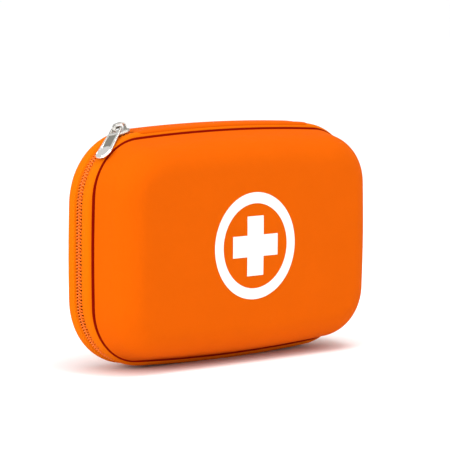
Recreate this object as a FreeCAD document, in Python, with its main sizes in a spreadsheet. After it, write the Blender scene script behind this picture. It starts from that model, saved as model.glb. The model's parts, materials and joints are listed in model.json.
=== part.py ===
import FreeCAD, Part
import os
import Sketcher
from math import sqrt, atan2, cos, sin, tan, radians, degrees, pi
from FreeCAD import Vector, Placement, Rotation

# First aid case: two moulded half shells joined by a fabric hinge along the top and closed by a zip.
# X runs along the width, -Y is the face with the badge, +Z is up; z = 0 is the underside of the rims.
os.makedirs("parts", exist_ok=True)
doc = FreeCAD.newDocument("FirstAidCase")
dims = doc.addObject("Spreadsheet::Sheet", "Dims")

DIMS = [
    ("case_width", 210.0, "over the rims"),
    ("case_height", 139.0, "over the rims"),
    ("half_depth", 34.6, "parting plane to the front face"),
    ("rear_depth", 20.0, "parting plane to the rear face"),
    ("bulge_top", 1100.0, "arc radius of the long sides"),
    ("bulge_side", 920.0, "arc radius of the short sides"),
    ("corner_round", 41.5, "corner radius of the rims"),
    ("crease_round", 36.0, "corner radius of the dome, before its inset"),
    ("rim_depth", 10.0, "parting plane to the crease"),
    ("rim_edge", 2.9, "parting plane to the rim's sewn edge"),
    ("rim_wall", 2.2, "thickness of the rim band"),
    ("rim_step", 1.8, "thickness of the step at the crease"),
    ("rim_round", 2.0, "rounding of the rim's outer corner"),
    ("edge_round", 0.6, "rounding of the rim's sewn edge"),
    ("crease_inset", 3.2, "crease inside the rim outline"),
    ("wall", 2.6, "moulded foam wall"),
    ("draft", 14.0, "degrees, slope of the front dome's side walls"),
    ("rear_draft", 30.0, "degrees, slope of the shallow rear dome's side walls"),
    ("dome_round", 17.5, "rounding between side walls and face"),
    ("cavity_round", 15.0, "rounding inside the shell"),
    ("rear_round", 9.0, "rounding between side walls and rear face"),
    ("rear_cavity_round", 6.0, "rounding inside the rear shell"),
    ("front_lining_gap", 0.4, "between the front's walls and its lining"),
    ("rear_lining_gap", 0.6, "between the rear's flatter walls and its lining"),
    ("layer_gap", 0.3, "air between neighbouring layers"),
    ("lining_wall", 0.5, "lining fabric"),
    ("tape_wall", 0.5, "zip tape"),
    ("tape_width", 7.5, "zip tape, coil edge to sewn edge"),
    ("tape_start", 0.5, "parting plane to the tape"),
    ("zip_end", 62.0, "half distance between the ends of the chain"),
    ("coil_top", 0.5, "coil below the rim outline"),
    ("coil_height", 1.7, "thickness of the coil"),
    ("coil_start", 0.45, "parting plane to the coil"),
    ("coil_width", 2.15, "width of one coil"),
    ("binding_start", 5.0, "parting plane to the inner binding"),
    ("binding_width", 2.9, "width of the inner binding"),
    ("binding_wall", 1.8, "thickness of the folded binding"),
    ("strip_half", 66.0, "half length of the hinge strip"),
    ("strip_wall", 0.8, "thickness of the hinge strip"),
    ("strip_slit", 0.3, "parting plane to each half of the hinge strip"),
    ("badge_radius", 31.4, "printed badge"),
    ("badge_inner", 25.0, "inside radius of the badge ring"),
    ("badge_wall", 0.25, "thickness of the printed film"),
    ("cross_half", 17.5, "half length of an arm of the cross"),
    ("cross_width", 12.6, "width of an arm of the cross"),
    ("slider_angle", 104.5, "degrees, slider position on the corner arc"),
    ("slider_rise", 1.5, "upper plate above the rim outline"),
    ("slider_plate", 0.9, "thickness of the upper plate"),
    ("slider_drop", 3.5, "lower plate below the rim outline"),
    ("slider_under", 1.1, "thickness of the lower plate"),
    ("slider_nose", 5.9, "slider centre to its nose"),
    ("slider_tail", 4.1, "slider centre to its tail"),
    ("slider_half", 3.7, "half width of the slider"),
    ("neck_wall", 0.4, "wedge between the two coils"),
    ("crown_width", 2.6, "width of the crown"),
    ("crown_height", 4.4, "crown above the upper plate"),
    ("crown_wall", 1.1, "thickness of the crown"),
    ("pull_length", 27.5, "bar to tip"),
    ("pull_wall", 1.3, "thickness of the pull"),
    ("pull_top", 7.8, "width at the eye"),
    ("pull_end", 10.4, "width at the thumb pad"),
    ("pull_hang", 23.5, "degrees below the slider's own plane"),
    ("pull_lean", 21.0, "degrees towards the front"),
    ("pull_rise", 4.3, "bar above the rim outline"),
    ("pull_back", 1.2, "bar behind the slider centre"),
    ("roll_radius", 15.2, "gauze roll"),
    ("roll_length", 44.0, "gauze and support rolls"),
    ("support_radius", 15.6, "cohesive support roll"),
    ("tape_roll_radius", 19.6, "roll of adhesive tape"),
    ("tape_roll_width", 12.5, "roll of adhesive tape"),
    ("spool_radius", 11.0, "core of the tape roll"),
    ("spool_bore", 9.2, "hole of the core"),
    ("blade_wall", 1.4, "scissor blade"),
    ("ring_radius", 11.0, "scissor finger ring"),
    ("ring_bore", 7.6, "scissor finger hole"),
    ("rivet_radius", 2.0, "scissor rivet"),
    ("net_depth", 16.8, "parting plane to the pocket net"),
    ("net_wall", 0.6, "pocket net"),
    ("net_top", 14.5, "top of the net above the middle of the case"),
]
for row, (alias, value, note) in enumerate(DIMS, start=1):
    dims.set("A%d" % row, alias)
    dims.set("B%d" % row, repr(value))
    dims.set("C%d" % row, note)
    dims.setAlias("B%d" % row, alias)
doc.recompute()


def dim(alias):
    return float(getattr(dims, alias))


def bind(obj, prop, expression):
    obj.setExpression(prop, expression)


def plane_of(body, role):
    return next(f for f in body.Origin.OriginFeatures if f.Role == role)


def new_body(node, lift="Dims.case_height / 2"):
    body = doc.addObject("PartDesign::Body", node)
    body.Label = node
    bind(body, "Placement.Base.z", lift)
    return body


def new_sketch(body, name, role="XZ_Plane", offset=None):
    sketch = body.newObject("Sketcher::SketchObject", name)
    sketch.AttachmentSupport = (plane_of(body, role), [""])
    sketch.MapMode = "FlatFace"
    if offset:
        bind(sketch, "AttachmentOffset.Base.z", offset)
    return sketch


def corner_centre(corner):
    """Centre of the upper right corner arc, tangent to the long and the short side arcs."""
    low = dim("case_height") / 2 - dim("bulge_top")
    left = dim("case_width") / 2 - dim("bulge_side")
    reach_top, reach_side = dim("bulge_top") - corner, dim("bulge_side") - corner
    span = sqrt(left ** 2 + low ** 2)
    along = (reach_top ** 2 - reach_side ** 2 + span ** 2) / (2 * span)
    across = sqrt(reach_top ** 2 - along ** 2)
    ux, uz = left / span, -low / span
    options = [(along * ux + s * across * -uz, low + along * uz + s * across * ux) for s in (1, -1)]
    return next(o for o in options if o[0] > 0 and o[1] > 0)


def outline(sketch, inset, corner="corner_round"):
    """Eight tangent arcs: four bulged sides and four corners, all moved inwards by inset."""
    top, side, bend = "Dims.bulge_top", "Dims.bulge_side", "Dims." + corner
    high = dim("bulge_top") - dim("case_height") / 2
    wide = dim("bulge_side") - dim("case_width") / 2
    cx, cz = corner_centre(dim(corner))
    shift = value_of(inset)
    at_top = atan2(cz + high, cx)
    at_side = atan2(cz, cx + wide)
    long_r, short_r, bend_r = dim("bulge_top") - shift, dim("bulge_side") - shift, dim(corner) - shift
    arcs = [
        ((0, -high), long_r, at_top, pi - at_top),
        ((-cx, cz), bend_r, pi - at_top, pi - at_side),
        ((wide, 0), short_r, pi - at_side, pi + at_side),
        ((-cx, -cz), bend_r, pi + at_side, pi + at_top),
        ((0, high), long_r, pi + at_top, 2 * pi - at_top),
        ((cx, -cz), bend_r, 2 * pi - at_top, 2 * pi - at_side),
        ((-wide, 0), short_r, 2 * pi - at_side, 2 * pi + at_side),
        ((cx, cz), bend_r, at_side, at_top),
    ]
    first = sketch.GeometryCount
    for (x, z), radius, start, stop in arcs:
        circle = Part.Circle(Vector(x, z, 0), Vector(0, 0, 1), radius)
        sketch.addGeometry(Part.ArcOfCircle(circle, start, stop), False)
    for k in range(8):
        sketch.addConstraint(Sketcher.Constraint("Tangent", first + k, 2, first + (k + 1) % 8, 1))
    for k in (0, 4):
        sketch.addConstraint(Sketcher.Constraint("PointOnObject", first + k, 3, -2))
    for k in (2, 6):
        sketch.addConstraint(Sketcher.Constraint("PointOnObject", first + k, 3, -1))
    for k in (3, 5, 7):
        sketch.addConstraint(Sketcher.Constraint("Equal", first + 1, first + k))

    def drive(kind, args, value, expression, name):
        index = sketch.addConstraint(Sketcher.Constraint(kind, *args, value))
        sketch.renameConstraint(index, name)
        bind(sketch, "Constraints." + name, expression)

    tag = "a" if first == 0 else "b"
    drive("Radius", (first + 1,), bend_r, "%s - (%s)" % (bend, inset), "bend_" + tag)
    for k, place in ((0, "top"), (4, "base")):
        drive("Radius", (first + k,), long_r, "%s - (%s)" % (top, inset), "long_%s_%s" % (place, tag))
    for k, place in ((2, "left"), (6, "right")):
        drive("Radius", (first + k,), short_r, "%s - (%s)" % (side, inset), "short_%s_%s" % (place, tag))
    reach = "Dims.bulge_top - Dims.case_height / 2"
    drive("DistanceY", (first + 0, 3, -1, 1), high, reach, "drop_top_" + tag)
    drive("DistanceY", (-1, 1, first + 4, 3), high, reach, "drop_base_" + tag)
    reach = "Dims.bulge_side - Dims.case_width / 2"
    drive("DistanceX", (-1, 1, first + 2, 3), wide, reach, "drop_left_" + tag)
    drive("DistanceX", (first + 6, 3, -1, 1), wide, reach, "drop_right_" + tag)


def value_of(expression):
    """Value of a sum and difference of Dims entries and numbers, for the first guess of a sketch."""
    total, sign = 0.0, 1
    for word in expression.replace("(", " ").replace(")", " ").split():
        if word in "+-":
            sign = 1 if word == "+" else -1
        else:
            total += sign * (dim(word[5:]) if word.startswith("Dims.") else float(word))
            sign = 1
    return total


def polygon(sketch, points):
    """Closed outline through the points; every corner stays where the numbers put it."""
    count = len(points)
    for k in range(count):
        (ax, ay), (bx, by) = points[k], points[(k + 1) % count]
        sketch.addGeometry(Part.LineSegment(Vector(ax, ay, 0), Vector(bx, by, 0)), False)
    for k in range(count):
        sketch.addConstraint(Sketcher.Constraint("Coincident", k, 2, (k + 1) % count, 1))
        sketch.addConstraint(Sketcher.Constraint("Block", k))


def circle(sketch, radius, x=0.0, z=0.0):
    """Circle whose radius is driven by an expression."""
    index = sketch.addGeometry(Part.Circle(Vector(x, z, 0), Vector(0, 0, 1), value_of(radius)), False)
    name = "radius_%d" % index
    sketch.renameConstraint(sketch.addConstraint(Sketcher.Constraint("Radius", index, value_of(radius))), name)
    bind(sketch, "Constraints." + name, radius)
    if x == 0 and z == 0:
        sketch.addConstraint(Sketcher.Constraint("Coincident", index, 3, -1, 1))
    else:
        sketch.addConstraint(Sketcher.Constraint("DistanceX", -1, 1, index, 3, x))
        sketch.addConstraint(Sketcher.Constraint("DistanceY", -1, 1, index, 3, z))


def pad(body, sketch, length, reverse=False, taper=None, both=False):
    feature = body.newObject("PartDesign::Pad", sketch.Name + "_pad")
    feature.Profile = sketch
    bind(feature, "Length", length)
    feature.Reversed = reverse
    feature.Midplane = both
    if taper:
        bind(feature, "TaperAngle", taper)
    finish(body, feature)
    return feature


def pocket(body, sketch, length, reverse=False, taper=None, through=False):
    feature = body.newObject("PartDesign::Pocket", sketch.Name + "_cut")
    feature.Profile = sketch
    if through:
        feature.Type = "ThroughAll"
        feature.Midplane = True
    else:
        bind(feature, "Length", length)
    feature.Reversed = reverse
    if taper:
        bind(feature, "TaperAngle", taper)
    finish(body, feature)
    return feature


def finish(body, feature):
    body.Tip = feature
    doc.recompute()
    if feature.Shape.isNull() or "Invalid" in feature.State or not feature.Shape.isValid():
        raise RuntimeError("feature failed: " + feature.Name)


def edges_at(shape, axis, value, inside=None):
    """Names of the edges that lie in the plane axis = value; inside picks by the edge's centre."""
    names = []
    for k, edge in enumerate(shape.Edges, start=1):
        box = edge.BoundBox
        low, high = getattr(box, axis + "Min"), getattr(box, axis + "Max")
        if abs(low - value) < 1e-3 and abs(high - value) < 1e-3 and (inside is None or inside(edge)):
            names.append("Edge%d" % k)
    return names


def round_edges(body, feature, names, radius):
    rounding = body.newObject("PartDesign::Fillet", feature.Name + "_round")
    rounding.Base = (feature, names)
    bind(rounding, "Radius", radius)
    finish(body, rounding)
    return rounding


DEPTH_OF = {1: "Dims.half_depth", -1: "Dims.rear_depth"}
ROUND_OF = {1: "Dims.dome_round", -1: "Dims.rear_round"}
LINING_GAP_OF = {1: "Dims.front_lining_gap", -1: "Dims.rear_lining_gap"}
CAVITY_ROUND_OF = {1: "Dims.cavity_round", -1: "Dims.rear_cavity_round"}


def dome(body, name, side, inset, start, floor, rounding):
    """Drafted dome with a rounded floor, from start to floor behind the parting plane."""
    base = new_sketch(body, name, offset="%d * (%s)" % (side, start))
    outline(base, inset, "crease_round")
    slope = "-Dims.draft" if side > 0 else "-Dims.rear_draft"
    solid = pad(body, base, "%s - (%s)" % (floor, start), side < 0, slope)
    y_floor = -side * value_of(floor)
    return round_edges(body, solid, edges_at(solid.Shape, "Y", y_floor), rounding)


def cut(node, solid, hollow):
    result = doc.addObject("Part::Cut", node)
    result.Label = node
    result.Base, result.Tool = solid, hollow
    doc.recompute()
    return result


def shell(node, side):
    """Half shell: rim band, crease and drafted dome, less its cavity."""
    body = new_body(node + "_solid")
    rim = new_sketch(body, node + "_rim", offset="%d * Dims.rim_edge" % side)
    outline(rim, "0")
    solid = pad(body, rim, "Dims.rim_depth - Dims.rim_edge", side < 0)
    solid = round_edges(body, solid, edges_at(solid.Shape, "Y", -side * dim("rim_depth")), "Dims.rim_round")
    round_edges(body, solid, edges_at(solid.Shape, "Y", -side * dim("rim_edge")), "Dims.edge_round")
    dome(body, node + "_dome", side, "Dims.crease_inset - 0.5", "Dims.rim_depth - Dims.rim_round",
         DEPTH_OF[side], ROUND_OF[side])
    hollow = new_body(node + "_hollow")
    mouth = new_sketch(hollow, node + "_mouth")
    outline(mouth, "Dims.rim_wall")
    pad(hollow, mouth, "Dims.rim_depth - Dims.rim_step", side < 0)
    dome(hollow, node + "_cavity", side, "Dims.crease_inset + Dims.wall", "Dims.rim_depth - Dims.rim_step",
         DEPTH_OF[side] + " - Dims.wall", CAVITY_ROUND_OF[side])
    return cut(node, body, hollow)


def lining(node, side):
    """Thin fabric dome inside a shell."""
    start = "Dims.rim_depth - Dims.rim_step + Dims.layer_gap"
    outer = "Dims.crease_inset + Dims.wall + " + LINING_GAP_OF[side]
    floor = DEPTH_OF[side] + " - Dims.wall - Dims.layer_gap"
    rounding = CAVITY_ROUND_OF[side] + " - Dims.layer_gap"
    body = new_body(node + "_solid")
    dome(body, node + "_outer", side, outer, start, floor, rounding)
    hollow = new_body(node + "_hollow")
    dome(hollow, node + "_inner", side, outer + " + Dims.lining_wall", start, floor + " - Dims.lining_wall",
         rounding + " - Dims.lining_wall")
    return cut(node, body, hollow)


def box_object(name, x, z, width, height):
    """Cutter through the whole depth, placed relative to the middle of the case."""
    box = doc.addObject("Part::Box", name)
    bind(box, "Length", width)
    bind(box, "Height", height)
    box.Width = 90
    bind(box, "Placement.Base.x", x)
    box.Placement.Base.y = -45
    bind(box, "Placement.Base.z", "Dims.case_height / 2 + (%s)" % z)
    return box


def ring(node, side, start, width, inset, wall, half=None, keep_top=False):
    """Band along the rim outline: closed, open at the top, or only the piece at the top."""
    body = new_body(node + "_band" if half else node)
    path = new_sketch(body, node + "_path", offset="%d * %s" % (side, start))
    outline(path, inset)
    outline(path, inset + " + " + wall)
    pad(body, path, width, side < 0)
    if not half:
        return body
    window = box_object(node + "_window", "-(%s)" % half, "40", "2 * (%s)" % half, "50")
    if not keep_top:
        return cut(node, body, window)
    piece = doc.addObject("Part::Common", node)
    piece.Label = node
    piece.Base, piece.Tool = body, window
    doc.recompute()
    return piece


def place(body, base, rotation=None):
    body.Placement = Placement(Vector(*base), rotation or Rotation())


def loose_body(node):
    """Body of an item that is placed by its own numbers, not from the middle of the case."""
    body = doc.addObject("PartDesign::Body", node)
    body.Label = node
    return body


def box_pack(node, size, centre, rounding):
    """Pillow-like pack: a box with all its edges rounded."""
    body = loose_body(node)
    block = body.newObject("PartDesign::AdditiveBox", node + "_block")
    block.Length, block.Width, block.Height = size
    finish(body, block)
    edges = ["Edge%d" % k for k in range(1, 13)]
    round_edges(body, block, edges, repr(rounding))
    place(body, [c - s / 2 for c, s in zip(centre, size)])
    return body


def roll(node, radius, length, base, rotation=None, rounding=1.2, bore=None):
    """Rolled dressing: a cylinder with softened rims, bored where it sits on a core."""
    body = loose_body(node)
    stock = body.newObject("PartDesign::AdditiveCylinder", node + "_stock")
    bind(stock, "Radius", radius)
    bind(stock, "Height", length)
    finish(body, stock)
    if bore:
        hole = body.newObject("PartDesign::SubtractiveCylinder", node + "_bore")
        bind(hole, "Radius", bore)
        bind(hole, "Height", length)
        finish(body, hole)
        stock = hole
    rims = [n for z in (0, stock.Shape.BoundBox.ZMax) for n in edges_at(stock.Shape, "Z", z)]
    round_edges(body, stock, rims, repr(rounding))
    place(body, base, rotation)
    return body


def strap(node, across, start, stop, u_left, u_right, y_floor, y_top, feet, wall=0.8):
    """Elastic band that bridges something: feet on the lining, legs, and a straight top.

    across is the direction the band spans; its width runs from start to stop along the other one."""
    body = loose_body(node)
    sketch = new_sketch(body, node + "_profile", "XY_Plane" if across == "x" else "YZ_Plane", repr(start))
    left, right = feet
    u0, u3 = u_left - wall - left, u_right + wall + right
    path = [(u0, y_floor), (u_left, y_floor), (u_left, y_top + wall), (u_right, y_top + wall),
            (u_right, y_floor), (u3, y_floor)]
    if right:
        path += [(u3, y_floor - wall), (u_right + wall, y_floor - wall)]
    path += [(u_right + wall, y_top), (u_left - wall, y_top)]
    if left:
        path += [(u_left - wall, y_floor - wall), (u0, y_floor - wall)]
    polygon(sketch, path if across == "x" else [(y, u) for u, y in path])
    pad(body, sketch, repr(stop - start))
    return body


def flat_part(node, points, y_back, wall, pivot=(0, 0), bore=None, mirrored=False):
    """Flat piece lying parallel to the back of the case, from an outline around its pivot."""
    body = loose_body(node)
    sketch = new_sketch(body, node + "_profile")
    polygon(sketch, [(x, -z if mirrored else z) for x, z in points])
    if bore:
        circle(sketch, bore)
    pad(body, sketch, wall)
    place(body, (pivot[0], y_back, pivot[1]))
    return body


nodes = {}
for prefix, side in (("rear", -1), ("front", 1)):
    nodes[prefix + "_shell"] = shell(prefix + "_shell", side)
    nodes[prefix + "_lining"] = lining(prefix + "_lining", side)
    under_rim = "Dims.rim_wall + Dims.layer_gap"
    nodes[prefix + "_tape"] = ring(prefix + "_tape", side, "Dims.tape_start", "Dims.tape_width",
                                   under_rim, "Dims.tape_wall", "Dims.zip_end - 2")
    nodes[prefix + "_coil"] = ring(prefix + "_coil", side, "Dims.coil_start", "Dims.coil_width",
                                   "Dims.coil_top", "Dims.coil_height", "Dims.zip_end")
    nodes[prefix + "_binding"] = ring(prefix + "_binding", side, "Dims.binding_start", "Dims.binding_width",
                                      under_rim + " + Dims.tape_wall + Dims.layer_gap", "Dims.binding_wall")
    nodes[prefix + "_hinge_lining"] = ring(prefix + "_hinge_lining", side, "Dims.tape_start", "Dims.tape_width",
                                           under_rim, "Dims.tape_wall", "Dims.zip_end - 4", True)
    nodes[prefix + "_hinge_strip"] = ring(prefix + "_hinge_strip", side, "Dims.strip_slit",
                                          "Dims.rim_depth - 0.4 - Dims.strip_slit",
                                          "0 - Dims.layer_gap - Dims.strip_wall", "Dims.strip_wall",
                                          "Dims.strip_half", True)

for node in ("badge_ring", "badge_cross"):
    body = new_body(node)
    face = new_sketch(body, node + "_print", offset="Dims.half_depth + 0.05")
    if node == "badge_ring":
        circle(face, "Dims.badge_radius")
        circle(face, "Dims.badge_inner")
    else:
        long_arm, short_arm = dim("cross_half"), dim("cross_width") / 2
        quarter = [(short_arm, short_arm), (long_arm, short_arm), (long_arm, -short_arm)]
        arms = quarter
        for turn in range(3):
            quarter = [(z, -x) for x, z in quarter]
            arms = arms + quarter
        polygon(face, arms)
    pad(body, face, "Dims.badge_wall")
    nodes[node] = body

# Zip slider on the upper left corner arc; its own x runs towards the nose, z away from the case.
cx, cz = corner_centre(dim("corner_round"))
turn = radians(dim("slider_angle"))
radial = Vector(cos(turn), 0, sin(turn))
middle = Vector(-cx, 0, dim("case_height") / 2 + cz)
slider_place = Placement(middle + radial * dim("corner_round"), Rotation(Vector(0, 1, 0), 90 - dim("slider_angle")))
nose, tail, half = dim("slider_nose"), dim("slider_tail"), dim("slider_half")

slider = loose_body("slider_body")
upper = new_sketch(slider, "slider_upper", "XY_Plane", "Dims.slider_rise")
plate = [(nose, 2.3), (nose - 2.2, half), (-1.5, half), (-tail, 3.2)]
polygon(upper, plate + [(x, -y) for x, y in reversed(plate)])
feature = pad(slider, upper, "Dims.slider_plate")
top = dim("slider_rise") + dim("slider_plate")
feature = round_edges(slider, feature, edges_at(feature.Shape, "Z", top), "0.5")
neck = new_sketch(slider, "slider_neck", "XY_Plane", "-Dims.slider_drop")
blade = dim("neck_wall") / 2
polygon(neck, [(2.2, -blade), (nose - 1.6, -blade), (nose - 1.6, blade), (2.2, blade)])
pad(slider, neck, "Dims.slider_drop + Dims.slider_rise")
lower = new_sketch(slider, "slider_lower", "XY_Plane", "-Dims.slider_drop - Dims.slider_under")
plate = [(nose - 1.5, 2.3), (nose - 3.5, half), (-1.5, half), (-tail + 0.1, 3.2)]
polygon(lower, plate + [(x, -y) for x, y in reversed(plate)])
pad(slider, lower, "Dims.slider_under")
slider.Placement = slider_place
nodes["slider_body"] = slider

crown = loose_body("slider_crown")
arch = new_sketch(crown, "slider_arch")
rise, wall = dim("crown_height"), dim("crown_wall")
peak = top + rise
outer = [(-tail + 0.2, top), (-tail + 0.3, peak - 1.1), (-tail + 1.3, peak), (2.2, peak), (4.4, peak - 1.9), (4.8, top)]
inner = [(3.7, top), (3.5, peak - 2.3), (1.8, peak - wall), (-tail + 1.6, peak - wall),
         (-tail + 1.3, peak - wall - 0.4), (-tail + 1.25, top)]
polygon(arch, outer + inner)
pad(crown, arch, "Dims.crown_width", both=True)
crown.Placement = slider_place
nodes["slider_crown"] = crown

pull = loose_body("pull_tab")
tab = new_sketch(pull, "pull_outline", "XY_Plane", "-Dims.pull_wall / 2")
length, eye, end = dim("pull_length"), dim("pull_top") / 2, dim("pull_end") / 2
points = [(length - end, end), (0.4, eye), (-0.8, eye - 1.0), (-0.8, 1.0 - eye), (0.4, -eye), (length - end, -end)]
for (ax, ay), (bx, by) in zip(points, points[1:]):
    tab.addGeometry(Part.LineSegment(Vector(ax, ay, 0), Vector(bx, by, 0)), False)
tip = Part.Circle(Vector(length - end, 0, 0), Vector(0, 0, 1), end)
tab.addGeometry(Part.ArcOfCircle(tip, -pi / 2, pi / 2), False)
for k in range(5):
    tab.addConstraint(Sketcher.Constraint("Coincident", k, 2, (k + 1), 1))
tab.addConstraint(Sketcher.Constraint("Coincident", 5, 2, 0, 1))
feature = pad(pull, tab, "Dims.pull_wall")
window = new_sketch(pull, "pull_eye", "XY_Plane")
polygon(window, [(0.8, -2.6), (5.6, -2.6), (5.6, 2.6), (0.8, 2.6)])
feature = pocket(pull, window, None, through=True)
panel = new_sketch(pull, "pull_panel", "XY_Plane", "Dims.pull_wall / 2")
polygon(panel, [(7.0, -2.9), (length - 8.6, -3.4), (length - 8.0, 0), (length - 8.6, 3.4), (7.0, 2.9)])
pocket(pull, panel, "0.45")
hang, lean = radians(dim("pull_hang")), radians(dim("pull_lean"))
down = Vector(-cos(hang), 0, -sin(hang)) * cos(lean) + Vector(0, -1, 0) * sin(lean)
outward = Vector(-sin(hang), 0, cos(hang))
local = Placement(Vector(-dim("pull_back"), 0, dim("pull_rise")),
                  Rotation(down, outward.cross(down), outward, "ZXY"))
pull.Placement = slider_place.multiply(local)
nodes["pull_tab"] = pull

# End stops of the chain, clamped on each tape under the end of the hinge strip.
for prefix, side in (("rear", -1), ("front", 1)):
    node = prefix + "_end_stop"
    nodes[node] = box_pack(node, (2.4, 2.0, 1.4), (60.6, -side * 1.6, 136.1), 0.3)

# Dressings and tools held in the rear half.
layers = dim("wall") + dim("layer_gap") + dim("lining_wall")
floor, lid_floor = dim("rear_depth") - layers, dim("half_depth") - layers
for node, x in (("gauze_roll_left", -61.0), ("gauze_roll_middle", -28.5)):
    nodes[node] = roll(node, "Dims.roll_radius", "Dims.roll_length", (x, floor - 0.4 - dim("roll_radius"), 21.0))
nodes["support_roll"] = roll("support_roll", "Dims.support_radius", "Dims.roll_length",
                             (4.5, floor - 0.4 - dim("support_radius"), 21.0))
to_back = Rotation(Vector(1, 0, 0), -90)
tape_base = (62.0, floor - 0.5 - dim("tape_roll_width"), 45.0)
nodes["tape_roll"] = roll("tape_roll", "Dims.tape_roll_radius", "Dims.tape_roll_width", tape_base, to_back, 0.5,
                          "Dims.spool_radius + 0.3")
nodes["tape_spool"] = roll("tape_spool", "Dims.spool_radius", "Dims.tape_roll_width", tape_base, to_back, 0.3,
                           "Dims.spool_bore")
nodes["roll_strap"] = strap("roll_strap", "x", 36.0, 50.0, -77.0, 20.9, floor - 0.1,
                            floor - 1.6 - 2 * dim("support_radius"), (0, 4.2))
nodes["foil_blanket_pack"] = box_pack("foil_blanket_pack", (60, 10.6, 43), (50, floor - 5.8, 90.5), 3.5)
nodes["triangular_bandage_pack"] = box_pack("triangular_bandage_pack", (56, 11, 41), (50, floor - 17.2, 90.5), 3.5)
nodes["pack_strap"] = strap("pack_strap", "z", 42.0, 58.0, 68.2, 112.8, floor - 0.1, floor - 24.2, (3.0, 3.0))
tweezers = [(0, 3), (40, 5.6), (62, 1.0), (62, 0.35), (40, 4.4), (6, 1.9)]
tweezers += [(x, -z) for x, z in reversed(tweezers)]
nodes["tweezers"] = flat_part("tweezers", tweezers, floor - 0.8, "6", (-48.0, 79.0))

# Scissors: both blades share one outline, the second is its mirror image in the next layer.
pivot = (-34.0, 97.0)
blade_points = [(46, 0.4), (40, -3.0), (10, -5.0), (0, -5.0), (-8, -2.0), (-16, 3.0), (-28, 6.6), (-30, 10.4),
                (-14, 8.4), (-6, 5.0), (0, 4.4), (10, 2.6), (40, 1.6)]
wall = dim("blade_wall")
back_blade = floor - 4.0
front_blade = back_blade - wall - 0.3
nodes["scissor_blade_fixed"] = flat_part("scissor_blade_fixed", blade_points, back_blade, "Dims.blade_wall", pivot,
                                         "Dims.rivet_radius + 0.05")
nodes["scissor_blade_moving"] = flat_part("scissor_blade_moving", blade_points, front_blade, "Dims.blade_wall", pivot,
                                          "Dims.rivet_radius + 0.05", True)
for node, flip, blade_y in (("scissor_handle_fixed", 1, back_blade), ("scissor_handle_moving", -1, front_blade)):
    body = loose_body(node)
    grip = new_sketch(body, node + "_ring")
    circle(grip, "Dims.ring_radius", -38.0, flip * 12.5)
    circle(grip, "Dims.ring_bore", -38.0, flip * 12.5)
    feature = pad(body, grip, "4.4")
    arm = new_sketch(body, node + "_arm")
    polygon(arm, [(x, flip * z) for x, z in ((-28.6, 6.4), (-19, 2.6), (-17.4, 8.6), (-28.6, 13.2))])
    feature = pad(body, arm, "4.4")
    slot = new_sketch(body, node + "_slot", offset="1.45")
    polygon(slot, [(x, flip * z) for x, z in ((-30.4, 4.5), (-10, -3), (-10, 12), (-30.4, 11.8))])
    pocket(body, slot, "Dims.blade_wall + 0.1", True)
    place(body, (pivot[0], blade_y + 1.5, pivot[1]))
    nodes[node] = body

rivet = loose_body("scissor_rivet")
stem = new_sketch(rivet, "rivet_stem")
circle(stem, "Dims.rivet_radius")
pad(rivet, stem, "2 * Dims.blade_wall + 0.9")
for name, offset in (("rivet_back", "-0.8"), ("rivet_front", "2 * Dims.blade_wall + 0.9")):
    head = new_sketch(rivet, name, offset=offset)
    circle(head, "Dims.rivet_radius + 1.3")
    pad(rivet, head, "0.8")
place(rivet, (pivot[0], back_blade + 0.3, pivot[1]))
nodes["scissor_rivet"] = rivet
nodes["scissor_strap"] = strap("scissor_strap", "z", pivot[0] + 9, pivot[0] + 19, 88.6, 106.6, floor - 0.1,
                               front_blade - 3.2, (3.0, 3.0))
nodes["tweezer_strap"] = strap("tweezer_strap", "z", -12.0, -4.0, 73.2, 84.8, floor - 0.1, floor - 8.2, (2.4, 2.4))

# Net pocket and flat packs in the front half.
net = new_body("pocket_net_sheet")
sheet = new_sketch(net, "pocket_net_outline", offset="Dims.net_depth")
outline(sheet, "9.0", "crease_round")
pad(net, sheet, "Dims.net_wall")
above = box_object("pocket_net_top", "-130", "Dims.net_top", "260", "90")
nodes["pocket_net"] = cut("pocket_net", net, above)
nodes["pocket_edge"] = box_pack("pocket_edge", (190.0, 2.0, 6.0), (0, -17.1, 87.05), 0.8)
nodes["plaster_pack"] = box_pack("plaster_pack", (88, 3.2, 58), (-26, 2.0 - lid_floor, 54), 1.0)
nodes["wipe_pack"] = box_pack("wipe_pack", (50, 5.6, 50), (49, 3.2 - lid_floor, 51), 1.8)
nodes["glove_pack"] = box_pack("glove_pack", (74, 4.0, 48), (-24, 6.0 - lid_floor, 52), 1.6)

doc.recompute()
for obj in doc.Objects:
    if {"Invalid", "Error"} & set(obj.State):
        raise RuntimeError("object failed: " + obj.Name)
# the origin is at the middle of the closed case, so the parting plane sits behind it
middle = (dim("half_depth") + 0.3 - dim("rear_depth")) / 2
recentre = FreeCAD.Placement(Vector(0, middle, 0), FreeCAD.Rotation())
for node, obj in nodes.items():
    obj.Placement = recentre.multiply(obj.Placement)
    shape = obj.Shape
    if shape.isNull() or not shape.isValid():
        raise RuntimeError("bad shape: " + node)
    shape.exportStep("parts/%s.step" % node)
    box = shape.optimalBoundingBox() if hasattr(shape, "optimalBoundingBox") else shape.BoundBox
    print("%-24s solids %d  x %.1f..%.1f  y %.1f..%.1f  z %.1f..%.1f" % (
        node, len(shape.Solids), box.XMin, box.XMax, box.YMin, box.YMax, box.ZMin, box.ZMax))
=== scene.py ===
import bmesh
import bpy
import json
import numpy as np
from math import atan2, cos, pi, radians, sin, sqrt, tan
from mathutils import Matrix, Vector


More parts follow.
